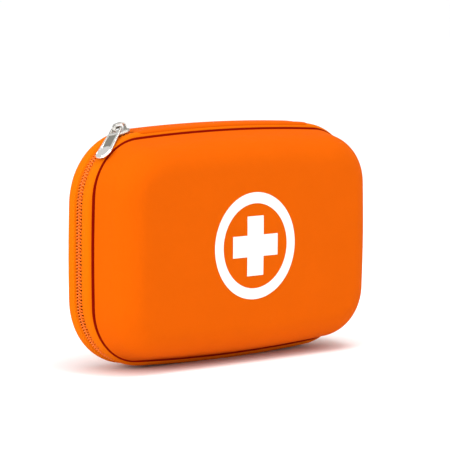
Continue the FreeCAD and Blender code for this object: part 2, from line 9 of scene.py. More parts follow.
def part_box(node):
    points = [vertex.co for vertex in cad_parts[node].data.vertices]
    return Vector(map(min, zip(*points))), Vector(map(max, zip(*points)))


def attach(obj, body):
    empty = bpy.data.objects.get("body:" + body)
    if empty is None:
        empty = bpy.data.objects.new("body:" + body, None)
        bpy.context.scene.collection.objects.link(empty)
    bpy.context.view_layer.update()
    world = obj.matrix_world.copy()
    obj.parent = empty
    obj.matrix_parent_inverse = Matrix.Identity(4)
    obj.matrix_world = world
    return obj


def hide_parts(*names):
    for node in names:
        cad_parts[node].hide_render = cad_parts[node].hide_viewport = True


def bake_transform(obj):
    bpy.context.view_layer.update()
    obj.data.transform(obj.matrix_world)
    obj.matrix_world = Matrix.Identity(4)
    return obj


# Soft first aid case: two moulded, cloth-covered half shells with a zip round three sides and a cloth hinge
# along the top. Shapes are worked out in millimetres and put into the meshes in metres.
# X runs along the width, -Y is the face with the badge, +Z is up.
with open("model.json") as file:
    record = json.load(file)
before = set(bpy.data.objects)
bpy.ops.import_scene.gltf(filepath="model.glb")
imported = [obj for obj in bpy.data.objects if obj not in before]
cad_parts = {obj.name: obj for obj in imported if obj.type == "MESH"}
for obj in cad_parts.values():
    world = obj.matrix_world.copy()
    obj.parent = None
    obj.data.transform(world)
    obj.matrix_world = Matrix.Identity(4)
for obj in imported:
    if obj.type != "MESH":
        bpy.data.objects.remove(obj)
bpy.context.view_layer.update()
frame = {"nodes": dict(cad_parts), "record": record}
MM = 0.001

JOINTS = {joint["name"]: joint for joint in frame["record"]["behaviour"]["joints"]}
PARTING = JOINTS["lid_hinge"]["pos_m"][1] / MM


def box_mm(node):
    """A node's two corners in millimetres, with y counted from the parting plane between the halves."""
    return tuple(np.array(corner) / MM - np.array([0.0, PARTING, 0.0]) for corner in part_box(node))


FRONT, REAR = -1, 1
HALF_WIDTH, REAR_DEPTH, HEIGHT = box_mm("rear_shell")[1]
DEPTH = {FRONT: -box_mm("front_shell")[0][1], REAR: REAR_DEPTH}
MIDDLE = HEIGHT / 2
BULGE_TOP, BULGE_SIDE = 1100.0, 920.0
CORNER, CREASE_CORNER = 41.5, 36.0
CREASE_INSET, CREASE_AT = 3.2, 10.0
WALL = 2.6
DRAFT = {FRONT: radians(14), REAR: radians(30)}
DOME_ROUND = {FRONT: 17.5, REAR: 9.0}
CAVITY_ROUND = {FRONT: 15.0, REAR: 6.0}
CROWN = {FRONT: 1.3, REAR: 0.3}
# inset of the dome's wall where it meets the crease: it starts 2 mm nearer the parting plane
FOOT = {side: CREASE_INSET - 0.5 + 2.0 * tan(DRAFT[side]) for side in (FRONT, REAR)}
LINING_GAP, LINING = 0.3, 0.5
ZIP_END = 62.0
BODY = {FRONT: "lid", REAR: "case"}
SIDE_NAME = {FRONT: "front", REAR: "rear"}
Y_AXIS, Z_AXIS = np.array([0.0, 1.0, 0.0]), np.array([0.0, 0.0, 1.0])


# ---------------------------------------------------------------- finishes
class Wire:
    """A node's output that plain arithmetic works on; each operation adds its Math node."""

    def __init__(self, finish, socket):
        self.finish, self.socket = finish, socket

    def math(self, operation, *others):
        return self.finish.node("Math", {"operation": operation}, dict(enumerate((self,) + others)))

    def __add__(self, other):
        return self.math("ADD", other)

    def __sub__(self, other):
        return self.math("SUBTRACT", other)

    def __rsub__(self, other):
        return self.finish.node("Math", {"operation": "SUBTRACT"}, {0: other, 1: self})

    def __mul__(self, other):
        return self.math("MULTIPLY", other)

    def __truediv__(self, other):
        return self.math("DIVIDE", other)

    def __pow__(self, other):
        return self.math("POWER", other)

    __radd__, __rmul__ = __add__, __mul__

    def above(self, edge, soft):
        """0 below edge, 1 above it, rising smoothly over a width of soft."""
        return self.finish.node("MapRange", {"interpolation_type": "SMOOTHSTEP"},
                                {0: self, 1: edge - soft / 2, 2: edge + soft / 2, 3: 0.0, 4: 1.0})


class Finish:
    """One procedural material: a Principled shader with fixed values, and the nodes that feed it."""

    def __init__(self, name, fixed):
        self.material = bpy.data.materials.new(name)
        self.material.use_nodes = True
        self.tree = self.material.node_tree
        self.shader = self.tree.nodes["Principled BSDF"]
        for socket, value in fixed.items():
            self.shader.inputs[socket].default_value = value

    def node(self, kind, settings=(), inputs=(), output=0):
        made = self.tree.nodes.new("ShaderNode" + kind)
        for key, value in dict(settings).items():
            setattr(made, key, value)
        for key, value in dict(inputs).items():
            if isinstance(value, Wire):
                self.tree.links.new(value.socket, made.inputs[key])
            else:
                made.inputs[key].default_value = value
        return Wire(self, made.outputs[output])

    def feed(self, socket, wire):
        self.tree.links.new(wire.socket, self.shader.inputs[socket])

    def mix(self, factor, low, high):
        """Colour between low and high by a factor from 0 to 1."""
        return self.node("Mix", {"data_type": "RGBA"}, {0: factor, 6: low, 7: high}, 2)

    def bump(self, height, depth):
        """Relief of a height from 0 to 1, depth metres deep."""
        self.feed("Normal", self.node("Bump", (), {"Strength": 1.0, "Distance": depth, "Height": height}))

    def place(self):
        return self.node("TexCoord", (), (), "Object")

    def cloth_plane(self):
        """The two coordinates of the piece's own flat cloth, in millimetres."""
        apart = self.node("SeparateXYZ", (), {0: self.node("UVMap", {"uv_map": "cloth"})})
        return apart, Wire(self, apart.socket.node.outputs[1])

    def noise(self, scale, detail=2.0, vector=None):
        return self.node("TexNoise", (), {"Vector": vector or self.place(), "Scale": scale, "Detail": detail})


def twill(finish, pitch, lean=1.0):
    """Height of a twill: rounded warp and weft threads a pitch apart, the warp on top along diagonal ribs.
    Height = the larger of |sin pi u| times the warp's rise and |sin pi v| times the weft's."""
    u, v = finish.cloth_plane()
    u, v = u / pitch, v / pitch
    rise = ((u + v * lean) * (2 * pi / 3)).math("SINE") * 0.5 + 0.5
    warp = (u * pi).math("SINE").math("ABSOLUTE") * (rise * 0.75 + 0.25)
    weft = (v * pi).math("SINE").math("ABSOLUTE") * (1.0 - rise * 0.75)
    return warp.math("MAXIMUM", weft)


def tint(colour, gain):
    return tuple(min(1.0, part * gain) for part in colour) + (1.0,)


def cloth(name, colour, pitch, depth, contrast=0.1, rough=0.85, sheen=0.0, specular=0.03, fuzz=0.05):
    """Woven cloth: thread relief, darker gaps between threads, slow shade drift and a little fuzz."""
    made = Finish(name, {"Specular IOR Level": specular, "Sheen Weight": sheen, "Sheen Roughness": 0.5,
                         "Sheen Tint": tint(colour, 1.0)})
    height = twill(made, pitch)
    drift = made.noise(38.0, 3.0)
    fibre = made.noise(2600.0, 2.0)
    shade = height * contrast + drift * fuzz + fibre * fuzz
    low, high = tint(colour, 1.0 - contrast - fuzz), tint(colour, 1.0 + contrast * 0.6 + fuzz)
    made.feed("Base Color", made.mix(shade / (contrast + 2 * fuzz), low, high))
    made.feed("Roughness", fibre * 0.14 + (rough - 0.07))
    made.bump(height * 0.8 + fibre * 0.2, depth)
    return made.material


def plain(name, colour, rough, metallic=0.0, specular=0.5, grain=900.0, wear=0.08, relief=0.00002, coat=0.0):
    """Moulded or metal finish: fine grain in colour, roughness and relief."""
    made = Finish(name, {"Metallic": metallic, "Specular IOR Level": specular, "Coat Weight": coat,
                         "Coat Roughness": 0.15})
    fine = made.noise(grain, 4.0)
    broad = made.noise(60.0, 2.0)
    shade = fine * 0.5 + broad * 0.5
    made.feed("Base Color", made.mix(shade, tint(colour, 1.0 - wear), tint(colour, 1.0 + wear)))
    made.feed("Roughness", fine * 0.12 + (rough - 0.06))
    made.bump(fine, relief)
    return made.material


ORANGE = (0.67, 0.101, 0.0004)
BRIGHT_ORANGE = (0.70, 0.140, 0.0006)
SHELL_CLOTH = cloth("shell_cloth", ORANGE, 0.62, 0.00012, 0.16)
# Painted shade: a dark red cloth for the crease groove and the band's turn into it, standing in for the shadow in the
# crease.
PAINTED_CREASE_SHADE = cloth("crease_painted_shade_cloth", (0.26, 0.004, 0.0003), 0.62, 0.00006)
BAND_CLOTH = cloth("band_cloth", BRIGHT_ORANGE, 0.62, 0.00010, 0.14)
TAPE_CLOTH = cloth("zip_tape_cloth", (0.30, 0.012, 0.0004), 0.45, 0.00005)
THREAD = cloth("sewing_thread", (0.95, 0.20, 0.003), 0.22, 0.00004, 0.2)
COIL = plain("coil_nylon", (0.86, 0.17, 0.004), 0.42, specular=0.35, relief=0.00001)
LINING_CLOTH = cloth("lining_cloth", (0.050, 0.052, 0.058), 0.9, 0.00008, 0.25, 0.9, 0.25)
BINDING_CLOTH = cloth("binding_cloth", (0.035, 0.036, 0.040), 0.8, 0.00008, 0.25, 0.85)
ELASTIC = cloth("elastic_web", (0.045, 0.046, 0.052), 1.3, 0.00018, 0.35, 0.8)
GAUZE = cloth("gauze_weave", (0.86, 0.85, 0.80), 1.1, 0.00020, 0.22, 0.95)
SUPPORT = cloth("support_crepe", (0.62, 0.40, 0.25), 1.6, 0.00030, 0.3, 0.95)
NICKEL = plain("polished_nickel", (0.58, 0.56, 0.52), 0.20, 1.0, grain=1500.0, wear=0.06, relief=0.000008)
STEEL = plain("brushed_steel", (0.62, 0.63, 0.64), 0.30, 1.0, grain=1800.0, relief=0.00001)
HANDLE = plain("handle_plastic", (0.75, 0.07, 0.004), 0.38, specular=0.45, relief=0.00002)
SPOOL = plain("spool_plastic", (0.86, 0.87, 0.88), 0.42, specular=0.4)
PAPER_TAPE = cloth("adhesive_tape_cloth", (0.88, 0.87, 0.83), 0.7, 0.00006, 0.12, 0.8)


PULL_LENGTH, PULL_END, PULL_TOP = 27.5, 5.2, 3.9
PAD_AT, PAD_RADIUS = 22.2, 4.6
PANEL_START, PANEL_HALF = 7.0, 2.95


def printed_film():
    """White print over woven cloth: the threads show through as relief, with a slight crackle in the shine."""
    made = Finish("badge_print_film", {"Specular IOR Level": 0.3})
    height = twill(made, 0.62)
    drift = made.noise(55.0, 3.0)
    shade = height * 0.35 + drift * 0.65
    made.feed("Base Color", made.mix(shade, (0.86, 0.83, 0.79, 1), (0.95, 0.935, 0.91, 1)))
    made.feed("Roughness", drift * 0.2 + 0.42)
    made.bump(height, 0.00002)
    return made.material


def pull_metal():
    """Cast zip pull: polished rim and thumb pad, and a matte, finely grained grey in the sunk panel."""
    made = Finish("pull_metal", {"Metallic": 1.0})
    x, y = made.cloth_plane()
    near_pad = ((x - PAD_AT) * (x - PAD_AT) + y * y) ** 0.5
    beside = y.math("ABSOLUTE").above(PANEL_HALF + 0.1, 0.4)
    inside = x.above(PANEL_START, 0.4) * (1.0 - beside) * near_pad.above(PAD_RADIUS + 0.2, 0.4)
    inside = inside * (1.0 - x.above(PAD_AT - 0.6, 0.2))
    grain = made.noise(3200.0, 3.0)
    scuffs = made.noise(420.0, 4.0)
    bright = made.mix(scuffs, (0.80, 0.78, 0.74, 1), (0.93, 0.92, 0.89, 1))
    matte = made.mix(grain, (0.16, 0.155, 0.135, 1), (0.36, 0.35, 0.31, 1))
    made.feed("Base Color", made.mix(inside, bright, matte))
    made.feed("Roughness", inside * (grain * 0.2 + 0.28) + (scuffs * 0.14 + 0.13))
    made.bump(grain * inside, 0.00006)
    return made.material


def foil(name, dark, light, rough, metallic, crinkle=0.0006, scale=140.0):
    """Creased wrap: sharp facets from a cell pattern and fine wrinkles from noise."""
    made = Finish(name, {"Metallic": metallic, "Specular IOR Level": 0.5})
    cells = made.node("TexVoronoi", {"feature": "DISTANCE_TO_EDGE"},
                      {"Vector": made.place(), "Scale": scale, "Randomness": 1.0})
    fine = made.noise(scale * 4, 4.0)
    height = cells.math("MINIMUM", 0.25) * 2.4 + fine * 0.4
    made.feed("Base Color", made.mix(fine * 0.5 + cells.math("MINIMUM", 0.5), dark + (1,), light + (1,)))
    made.feed("Roughness", fine * 0.2 + rough)
    made.bump(height, crinkle)
    return made.material


def seal_wrap(name, field, band, every, share, rough=0.45):
    """Printed sachet wrap: plain bands of a second colour every so often along its length, over a ribbed relief."""
    made = Finish(name, {"Specular IOR Level": 0.45})
    u, v = made.cloth_plane()
    stripe = ((u / every).math("FRACT")).above(1.0 - share, 0.02)
    fibre = made.noise(900.0, 4.0)
    paper = made.mix(fibre, tuple(part * 0.9 for part in field) + (1,), field + (1,))
    ink = made.mix(fibre, tuple(part * 0.85 for part in band) + (1,), band + (1,))
    made.feed("Base Color", made.mix(stripe, paper, ink))
    made.feed("Roughness", fibre * 0.16 + rough)
    made.bump(((u + v) * 3.4).math("SINE") * 0.25 + fibre, 0.00008)
    return made.material


def mesh_net():
    """Pocket net: crossed slanting threads with open cells; the openings are cut away through Alpha."""
    made = Finish("pocket_net_mesh", {"Specular IOR Level": 0.3})
    u, v = made.cloth_plane()
    across = ((u + v) / 3.0 * pi).math("SINE").math("ABSOLUTE")
    back = ((u - v) / 3.0 * pi).math("SINE").math("ABSOLUTE")
    thread = 1.0 - across.math("MINIMUM", back).above(0.34, 0.1)
    fibre = made.noise(1500.0, 2.0)
    made.feed("Base Color", made.mix(fibre, (0.02, 0.02, 0.023, 1), (0.06, 0.06, 0.066, 1)))
    made.feed("Roughness", fibre * 0.2 + 0.6)
    made.feed("Alpha", thread)
    made.bump(thread, 0.0002)
    return made.material


def wound(name, colour, pitch, depth):
    """End of a wound roll: a spiral groove, at radius minus pitch times turns, with a fibrous edge."""
    made = Finish(name, {"Specular IOR Level": 0.15})
    radius, turns = made.cloth_plane()
    layer = ((radius / pitch - turns) * pi).math("SINE").math("ABSOLUTE")
    fibre = made.noise(1100.0, 4.0)
    made.feed("Base Color", made.mix(layer * 0.75 + fibre * 0.25, tint(colour, 0.55), tint(colour, 1.0)))
    made.feed("Roughness", fibre * 0.1 + 0.85)
    made.bump(layer + fibre * 0.5, depth)
    return made.material


PRINT, PULL_METAL = printed_film(), pull_metal()
BLANKET_FOIL = foil("blanket_foil", (0.62, 0.50, 0.20), (0.92, 0.80, 0.46), 0.16, 1.0)
WIPE_FOIL = foil("wipe_foil", (0.72, 0.80, 0.86), (0.90, 0.94, 0.96), 0.30, 0.55, 0.00025, 220.0)
STERILE_WRAP = seal_wrap("sterile_wrap", (0.84, 0.87, 0.88), (0.05, 0.30, 0.34), 28.0, 0.22)
PLASTER_WRAP = seal_wrap("plaster_wrap", (0.88, 0.80, 0.68), (0.72, 0.50, 0.33), 22.0, 0.12)
GLOVE_FILM = foil("glove_film", (0.20, 0.40, 0.58), (0.45, 0.66, 0.80), 0.28, 0.0, 0.0003, 120.0)
NET = mesh_net()
GAUZE_END = wound("gauze_roll_end", (0.86, 0.85, 0.80), 0.75, 0.0003)
SUPPORT_END = wound("support_roll_end", (0.60, 0.38, 0.24), 1.1, 0.0004)
TAPE_END = wound("tape_roll_end", (0.86, 0.84, 0.78), 0.35, 0.0001)


# ---------------------------------------------------------------- shapes
def surface(name, body, slot, *sheets, stands_for=(), weld=0.01, crease=40.0):
    """One piece from point grids in millimetres. A sheet is (grid, cloth, finish): the grid is rows x columns x 3,
    or copies x rows x columns x 3, and cloth its flat coordinates. Edges and poles that meet are welded."""
    points, quads, flats, slots, finishes = [], [], [], [], []
    first = 0
    for grid, flat, finish in sheets:
        grid = np.asarray(grid, float)
        grid = grid[None] if grid.ndim == 3 else grid
        number = first + np.arange(grid[..., 0].size).reshape(grid.shape[:3])
        around = [number[:, :-1, :-1], number[:, :-1, 1:], number[:, 1:, 1:], number[:, 1:, :-1]]
        quads.append(np.stack(around, -1).reshape(-1, 4))
        points.append(grid.reshape(-1, 3))
        flat = np.zeros(2) if flat is None else np.asarray(flat, float)
        flats.append(np.broadcast_to(flat, grid.shape[:3] + (2,)).reshape(-1, 2))
        if finish not in finishes:
            finishes.append(finish)
        slots.append(np.full(len(quads[-1]), finishes.index(finish)))
        first += grid[..., 0].size
    points = (np.concatenate(points) + PARTING * Y_AXIS) * MM
    quads, flats = np.concatenate(quads), np.concatenate(flats)
    mesh = bpy.data.meshes.new(name)
    mesh.vertices.add(len(points))
    mesh.vertices.foreach_set("co", points.ravel())
    mesh.loops.add(quads.size)
    mesh.loops.foreach_set("vertex_index", quads.ravel())
    mesh.polygons.add(len(quads))
    mesh.polygons.foreach_set("loop_start", np.arange(len(quads)) * 4)
    mesh.polygons.foreach_set("material_index", np.concatenate(slots))
    mesh.update(calc_edges=True)
    mesh.uv_layers.new(name="cloth").uv.foreach_set("vector", flats[quads.ravel()].ravel())
    for finish in finishes:
        mesh.materials.append(finish)
    shape = bmesh.new()
    shape.from_mesh(mesh)
    bmesh.ops.remove_doubles(shape, verts=shape.verts, dist=weld * MM)
    bmesh.ops.recalc_face_normals(shape, faces=shape.faces)
    shape.to_mesh(mesh)
    shape.free()
    mesh.shade_smooth()
    mesh.set_sharp_from_angle(angle=radians(crease))
    piece = bpy.data.objects.new(name, mesh)
    bpy.context.scene.collection.objects.link(piece)
    if body:
        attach(piece, body)
    if stands_for:
        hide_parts(*stands_for)
    return piece


def clamp(values):
    return np.clip(values, 0, 1)


def unit(vectors):
    return vectors / np.linalg.norm(vectors, axis=-1, keepdims=True)


def lengths(points):
    """Distance along a line of points, from its first point to each."""
    steps = np.linalg.norm(np.diff(points, axis=0), axis=-1)
    return np.concatenate([[0.0], np.cumsum(steps)])


def smooth_line(knots, steps=8, closed=False):
    """Catmull-Rom line through the knots: each span is the cubic whose end slopes are half the neighbours' gap."""
    knots = np.asarray(knots, float)
    if closed:
        around = np.concatenate([knots[-1:], knots, knots[:2]])
    else:
        around = np.concatenate([2 * knots[:1] - knots[1:2], knots, 2 * knots[-1:] - knots[-2:-1]])
    before, start, stop, after = (around[k:len(around) - 3 + k, None] for k in range(4))
    t = np.linspace(0, 1, steps, endpoint=False)[None, :, None]
    line = 0.5 * (2 * start + (stop - before) * t + (2 * before - 5 * start + 4 * stop - after) * t ** 2
                  + (3 * start - before - 3 * stop + after) * t ** 3)
    last = knots[:1] if closed else knots[-1:]
    return np.concatenate([line.reshape(-1, knots.shape[1]), last])


def sweep(path, out, side, profile):
    """A profile carried along a path: point = path + a times out + b times side for each profile point (a, b)."""
    profile = np.broadcast_to(profile, (len(path),) + np.shape(profile)[-2:])
    out, side = (np.broadcast_to(way, path.shape)[:, None] for way in (out, side))
    return path[:, None] + profile[..., :1] * out + profile[..., 1:] * side


def tube(path, radius, around, sides=8):
    """Round thread: circles of a radius square to the path, turned from the direction called around."""
    ahead = unit(np.gradient(path, axis=0))
    out = unit(np.cross(ahead, around))
    angle = np.linspace(0, 2 * pi, sides + 1)
    return sweep(path, out, np.cross(ahead, out), radius * np.stack([np.cos(angle), np.sin(angle)], -1))


def capped(grid):
    """The grid with each end row drawn together into its middle, so that the form is closed."""
    ends = [np.repeat(row.mean(0)[None], len(row), 0)[None] for row in (grid[0], grid[-1])]
    return np.concatenate([ends[0], grid, ends[1]])


def spread(*parts):
    """Grid whose last axis holds the parts, each stretched over the rows and columns of the others."""
    return np.stack(np.broadcast_arrays(*parts), -1)


def capped_flat(flat):
    """Flat cloth of a capped grid: each end row again for the end drawn together."""
    return np.concatenate([flat[:1], flat, flat[-1:]])


EDGES = (np.s_[0], np.s_[-1], np.s_[:, 0], np.s_[:, -1])


def skirt(faces):
    """The four narrow sheets that join two faces along their edges."""
    return [np.stack([faces[0][edge], faces[1][edge]]) for edge in EDGES]


def pill(half_a, half_b, power=0.4, count=32):
    """Rounded rectangle profile: (half a times cos, half b times sin), each with its size raised to a power."""
    angle = np.linspace(0, 2 * pi, count + 1)
    bend = [np.sign(part) * np.abs(part) ** power for part in (np.cos(angle), np.sin(angle))]
    return np.stack([half_a * bend[0], half_b * bend[1]], -1)


def stations(start, stop, rounding, count=24):
    """Places from start to stop with a share of full thickness at each, falling to nothing as a quarter circle."""
    angle = np.linspace(0, pi / 2, 7)
    turn_in = start + rounding * (1 - np.cos(angle))
    middle = np.linspace(start + rounding, stop - rounding, count)[1:-1]
    place = np.concatenate([turn_in, middle, stop - (turn_in[::-1] - start)])
    share = np.concatenate([np.sin(angle), np.ones(len(middle)), np.sin(angle[::-1])])
    return place, np.clip(share, 0.001, 1)


# ---------------------------------------------------------------- rim outlines
def corner_centre(bend):
    """Centre of the upper right corner arc, tangent inside to a long and a short side arc."""
    low, left = MIDDLE - BULGE_TOP, HALF_WIDTH - BULGE_SIDE
    reach_top, reach_side = BULGE_TOP - bend, BULGE_SIDE - bend
    span = sqrt(left ** 2 + low ** 2)
    along = (reach_top ** 2 - reach_side ** 2 + span ** 2) / (2 * span)
    across = sqrt(reach_top ** 2 - along ** 2)
    ux, uz = left / span, -low / span
    options = [(along * ux + s * across * -uz, low + along * uz + s * across * ux) for s in (1, -1)]
    return next(option for option in options if min(option) > 0)


def outline(bend):
    """Closed outline from the top middle round by the left: point = arc centre + radius times direction."""
    high, wide = BULGE_TOP - MIDDLE, BULGE_SIDE - HALF_WIDTH
    cx, cz = corner_centre(bend)
    top, side = atan2(cz + high, cx), atan2(cz, cx + wide)
    arcs = [((0, -high), BULGE_TOP, pi / 2, pi - top, 22), ((-cx, cz), bend, pi - top, pi - side, 26),
            ((wide, 0), BULGE_SIDE, pi - side, pi + side, 24), ((-cx, -cz), bend, pi + side, pi + top, 26),
            ((0, high), BULGE_TOP, pi + top, 2 * pi - top, 44), ((cx, -cz), bend, 2 * pi - top, 2 * pi - side, 26),
            ((-wide, 0), BULGE_SIDE, 2 * pi - side, 2 * pi + side, 24), ((cx, cz), bend, side, top, 26),
            ((0, -high), BULGE_TOP, top, pi / 2, 22)]
    points, outs = [], []
    for centre, radius, start, stop, steps in arcs:
        angle = np.linspace(start, stop, steps, endpoint=False)
        outs.append(np.stack([np.cos(angle), 0 * angle, np.sin(angle)], -1))
        points.append(np.array([centre[0], 0, centre[1] + MIDDLE]) + radius * outs[-1])
    points, outs = np.concatenate(points), np.concatenate(outs)
    return np.concatenate([points, points[:1]]), np.concatenate([outs, outs[:1]])


RIM, RIM_OUT = outline(CORNER)
DOME, DOME_OUT = outline(CREASE_CORNER)
RIM_AT = lengths(RIM)
ZIP_START = float(np.interp(ZIP_END, -RIM[:40, 0], RIM_AT[:40]))


def rim_at(distance, inset=0.0):
    """Points on the rim a distance from the top middle and inset inwards, with the outward and the forward way."""
    point, out = (np.stack([np.interp(distance, RIM_AT, part[:, k]) for k in range(3)], -1)
                  for part in (RIM, RIM_OUT))
    out = unit(out)
    return point - out * np.asarray(inset)[..., None], out, np.cross(out, Y_AXIS)


def rings(share, rim_inset, dome_inset, y):
    """Rows of outline points: each between the rim's outline and the dome's by a share, each at its own inset."""
    share, rim_inset, dome_inset, y = (np.broadcast_to(part, np.shape(y))[:, None, None]
                                       for part in (share, rim_inset, dome_inset, y))
    flat = (1 - share) * (RIM - rim_inset * RIM_OUT) + share * (DOME - dome_inset * DOME_OUT)
    return flat + y * Y_AXIS


# ---------------------------------------------------------------- shells
def dome_side(side, base, depth, rounding, start):
    """Profile from the mouth to the face: a drafted wall, then an arc of the given rounding up to the depth."""
    draft, arc_y = DRAFT[side], depth - rounding
    arc_inset = base + tan(draft) * (arc_y - CREASE_AT) + rounding / cos(draft)
    turn = np.linspace(draft, pi / 2, 22)
    wall_y = np.linspace(start, arc_y + rounding * sin(draft), 8)[:-1]
    wall_inset = base + tan(draft) * (wall_y - CREASE_AT)
    return (np.concatenate([wall_inset, arc_inset - rounding * np.cos(turn)]),
            np.concatenate([wall_y, arc_y + rounding * np.sin(turn)]))


def crowned(grid, side, inset_share, depth):
    """Adds the face's crown: y grows by the crown times t(2 - t), t from the wall to the middle, less its value at
    the edge of the face, and by a slight wave left by the mould."""
    t = clamp(inset_share)
    fade = clamp((grid[..., 1] - CREASE_AT) / (depth - CREASE_AT))
    wave = 0.10 * np.sin(grid[..., 0] * 0.083 + 0.7) * np.sin(grid[..., 2] * 0.107 + 0.4)
    grid = grid.copy()
    grid[..., 1] += (CROWN[side] * (t * (2 - t) - 0.5) + wave) * fade
    return grid


def dome(side, base, depth, rounding, start, caps=18):
    """Rows from the middle of the face out to the mouth, with the flat cloth pressed over them: on the face its own
    x and z, and beyond the face's edge the profile length outwards."""
    inset, y = dome_side(side, base, depth, rounding, start)
    side_rows = rings(1.0, 0.0, inset[::-1], y[::-1])
    edge = side_rows[0]
    middle = np.array([0.0, depth, MIDDLE])
    shrink = np.sin(np.linspace(0, pi / 2, caps, endpoint=False))[:, None, None]
    cap_rows = middle + (edge - middle) * shrink
    half_short = MIDDLE - inset[-1]
    share = np.concatenate([(inset[-1] - inset[0] + (1 - shrink[:, 0, 0]) * half_short), inset[::-1] - inset[0]])
    share = share / (inset[-1] - inset[0] + half_short)
    grid = crowned(np.concatenate([cap_rows, side_rows]), side, share[:, None], depth)
    run = lengths(np.stack([inset[::-1], y[::-1]], -1))[:, None, None]
    flat = np.concatenate([cap_rows, edge + run * DOME_OUT])[..., [0, 2]]
    return grid, flat


def mirrored(grid, side):
    return grid * np.array([1.0, side, 1.0])


OUTER = {side: dome(side, FOOT[side], DEPTH[side], DOME_ROUND[side], CREASE_AT + 1.15) for side in (FRONT, REAR)}


def face_depth(x, z):
    """How far the face stands from the parting plane at x and z, by each point's share of the way to the edge."""
    polar = np.arctan2(z - MIDDLE, x)
    rows = OUTER[FRONT][0][:18]
    edge = rows[-1]
    turn = np.arctan2(edge[:-1, 2] - MIDDLE, edge[:-1, 0])
    order = np.argsort(turn)
    reach = np.hypot(edge[:-1, 0], edge[:-1, 2] - MIDDLE)
    share = np.hypot(x, z - MIDDLE) / np.interp(polar, turn[order], reach[order], period=2 * pi)
    profile = np.hypot(rows[:, 0, 0], rows[:, 0, 2] - MIDDLE) / reach[0]
    return np.interp(share, profile, rows[:, :, 1].mean(1))


def shell(side):
    """Closed half shell: outer dome, the groove behind the rim, and the inner wall, all one cloth-covered skin. The
    groove's cloth is painted dark red as the shade in the crease.
    """
    outer, outer_cloth = OUTER[side]
    foot = FOOT[side] + 1.15 * tan(DRAFT[side])
    wall = WALL / cos(DRAFT[side])
    inner, inner_cloth = dome(side, FOOT[side] + wall, DEPTH[side] - WALL, CAVITY_ROUND[side], CREASE_AT + 0.2)
    groove = rings(1.0, 0.0, foot + np.array([0.0, 0.12, 0.45, 0.9, 1.25, 1.7]),
                   np.array([11.15, 10.85, 10.5, 10.28, 10.2, 10.2]))
    groove[1:-1] += 0.25 * -DOME_OUT
    run = np.array([0.0, 0.35, 0.8, 1.3, 1.7, 2.1])[:, None, None]
    groove_cloth = outer_cloth[-1] + run * DOME_OUT[:, [0, 2]]
    inner = np.concatenate([groove[-1:], inner[::-1]])
    inner_cloth = np.concatenate([groove_cloth[-1:], inner_cloth[::-1]])
    surface(SIDE_NAME[side] + "_moulded_shell", BODY[side], "shell_fabric",
            (mirrored(outer, side), outer_cloth, SHELL_CLOTH),
            # painted shade: the groove takes the dark red crease cloth
            (mirrored(groove, side), groove_cloth, PAINTED_CREASE_SHADE),
            (mirrored(inner, side), inner_cloth, SHELL_CLOTH), stands_for=[SIDE_NAME[side] + "_shell"])


LIP_INSET, LIP_AT, BAND_TOP, BAND_TURN = 1.7, 2.65, 5.4, 7.3


def band_inset(y):
    """How far the band's surface lies inside the rim outline at |y|, up to where it turns to the crease."""
    drop = (BAND_TOP - np.minimum(y, BAND_TOP)) / (BAND_TOP - LIP_AT)
    return LIP_INSET * (1 - np.sqrt(clamp(1 - drop ** 2)))


def band(side):
    """Padded rim band: a lip sewn to the zip, a rolled quarter ellipse up to the outline, a shallow bulge, and a
    second quarter ellipse down to the crease. Its back edge runs into the shell's wall; the inside is flat. The rows
    that turn down into the crease are painted dark red as the shade in the crease."""
    quarter = np.linspace(0, pi / 2, 12)
    across = np.linspace(0, 1, 6)[1:-1]
    share = np.concatenate([[0, 0], 0 * quarter, 0 * across, 1 - np.cos(quarter), [1, 1, 0, 0]])
    inset = np.concatenate([[2.6, 2.2], LIP_INSET * (1 - np.sin(quarter)), -0.12 * np.sin(pi * across), 0 * quarter,
                            [0, 0, 2.7, 2.6]])
    dome_inset = np.concatenate([np.full(len(share) - 4, FOOT[side]), [FOOT[side] + 1.6, FOOT[side] + 1.9, 0, 0]])
    y = np.concatenate([[3.4, 2.85], BAND_TOP - (BAND_TOP - LIP_AT) * np.cos(quarter),
                        BAND_TOP + (BAND_TURN - BAND_TOP) * across,
                        BAND_TURN + (CREASE_AT - BAND_TURN) * np.sin(quarter), [10.6, 9.3, 8.2, 3.4]])
    grid = rings(share, inset, dome_inset, y)
    run = np.cumsum(np.concatenate([[0], np.hypot(np.diff(y), np.diff(inset + share * FOOT[side]))]))
    flat = spread(RIM_AT[None, :], run[:, None])
    surface(SIDE_NAME[side] + "_rim_band", BODY[side], "shell_fabric",
            (mirrored(grid[:-6], side), flat[:-6], BAND_CLOTH),
            # painted shade: the band's turn into the crease takes the dark red crease cloth
            (mirrored(grid[-7:-3], side), flat[-7:-3], PAINTED_CREASE_SHADE),
            (mirrored(grid[-4:], side), flat[-4:], BAND_CLOTH))


def stitches(name, body, slot, distance, inset, y, length, radius, finish):
    """A row of stitches: at each place a thread that rises out of the cloth as half a sine and dips at both ends."""
    place, out, ahead = rim_at(distance, inset)
    along = np.linspace(-0.5, 0.5, 7)
    lift = radius * (1.7 * np.cos(along * pi) - 1.0)
    path = place[:, None] + (along * length)[None, :, None] * ahead[:, None] + lift[None, :, None] * out[:, None]
    path = path + y * Y_AXIS
    angle = np.linspace(0, 2 * pi, 7)
    thick = radius * np.sqrt(clamp(1.02 - (2 * along) ** 2))[None, :, None, None]
    ring = np.cos(angle)[:, None] * out[:, None, None] + np.sin(angle)[:, None] * Y_AXIS
    flat = spread(along[:, None] * length + angle[None] * 0.1, angle[None] * radius)
    return surface(name, body, slot, (path[:, :, None] + thick * ring, flat, finish))


# ---------------------------------------------------------------- badge
BADGE_RADIUS = (np.array(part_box("badge_ring")[1]) / MM)[0]
BADGE_INNER = 25.0
CROSS_HALF = (np.array(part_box("badge_cross")[1]) / MM)[0]
CROSS_WIDTH = 12.6
FILM = 0.16


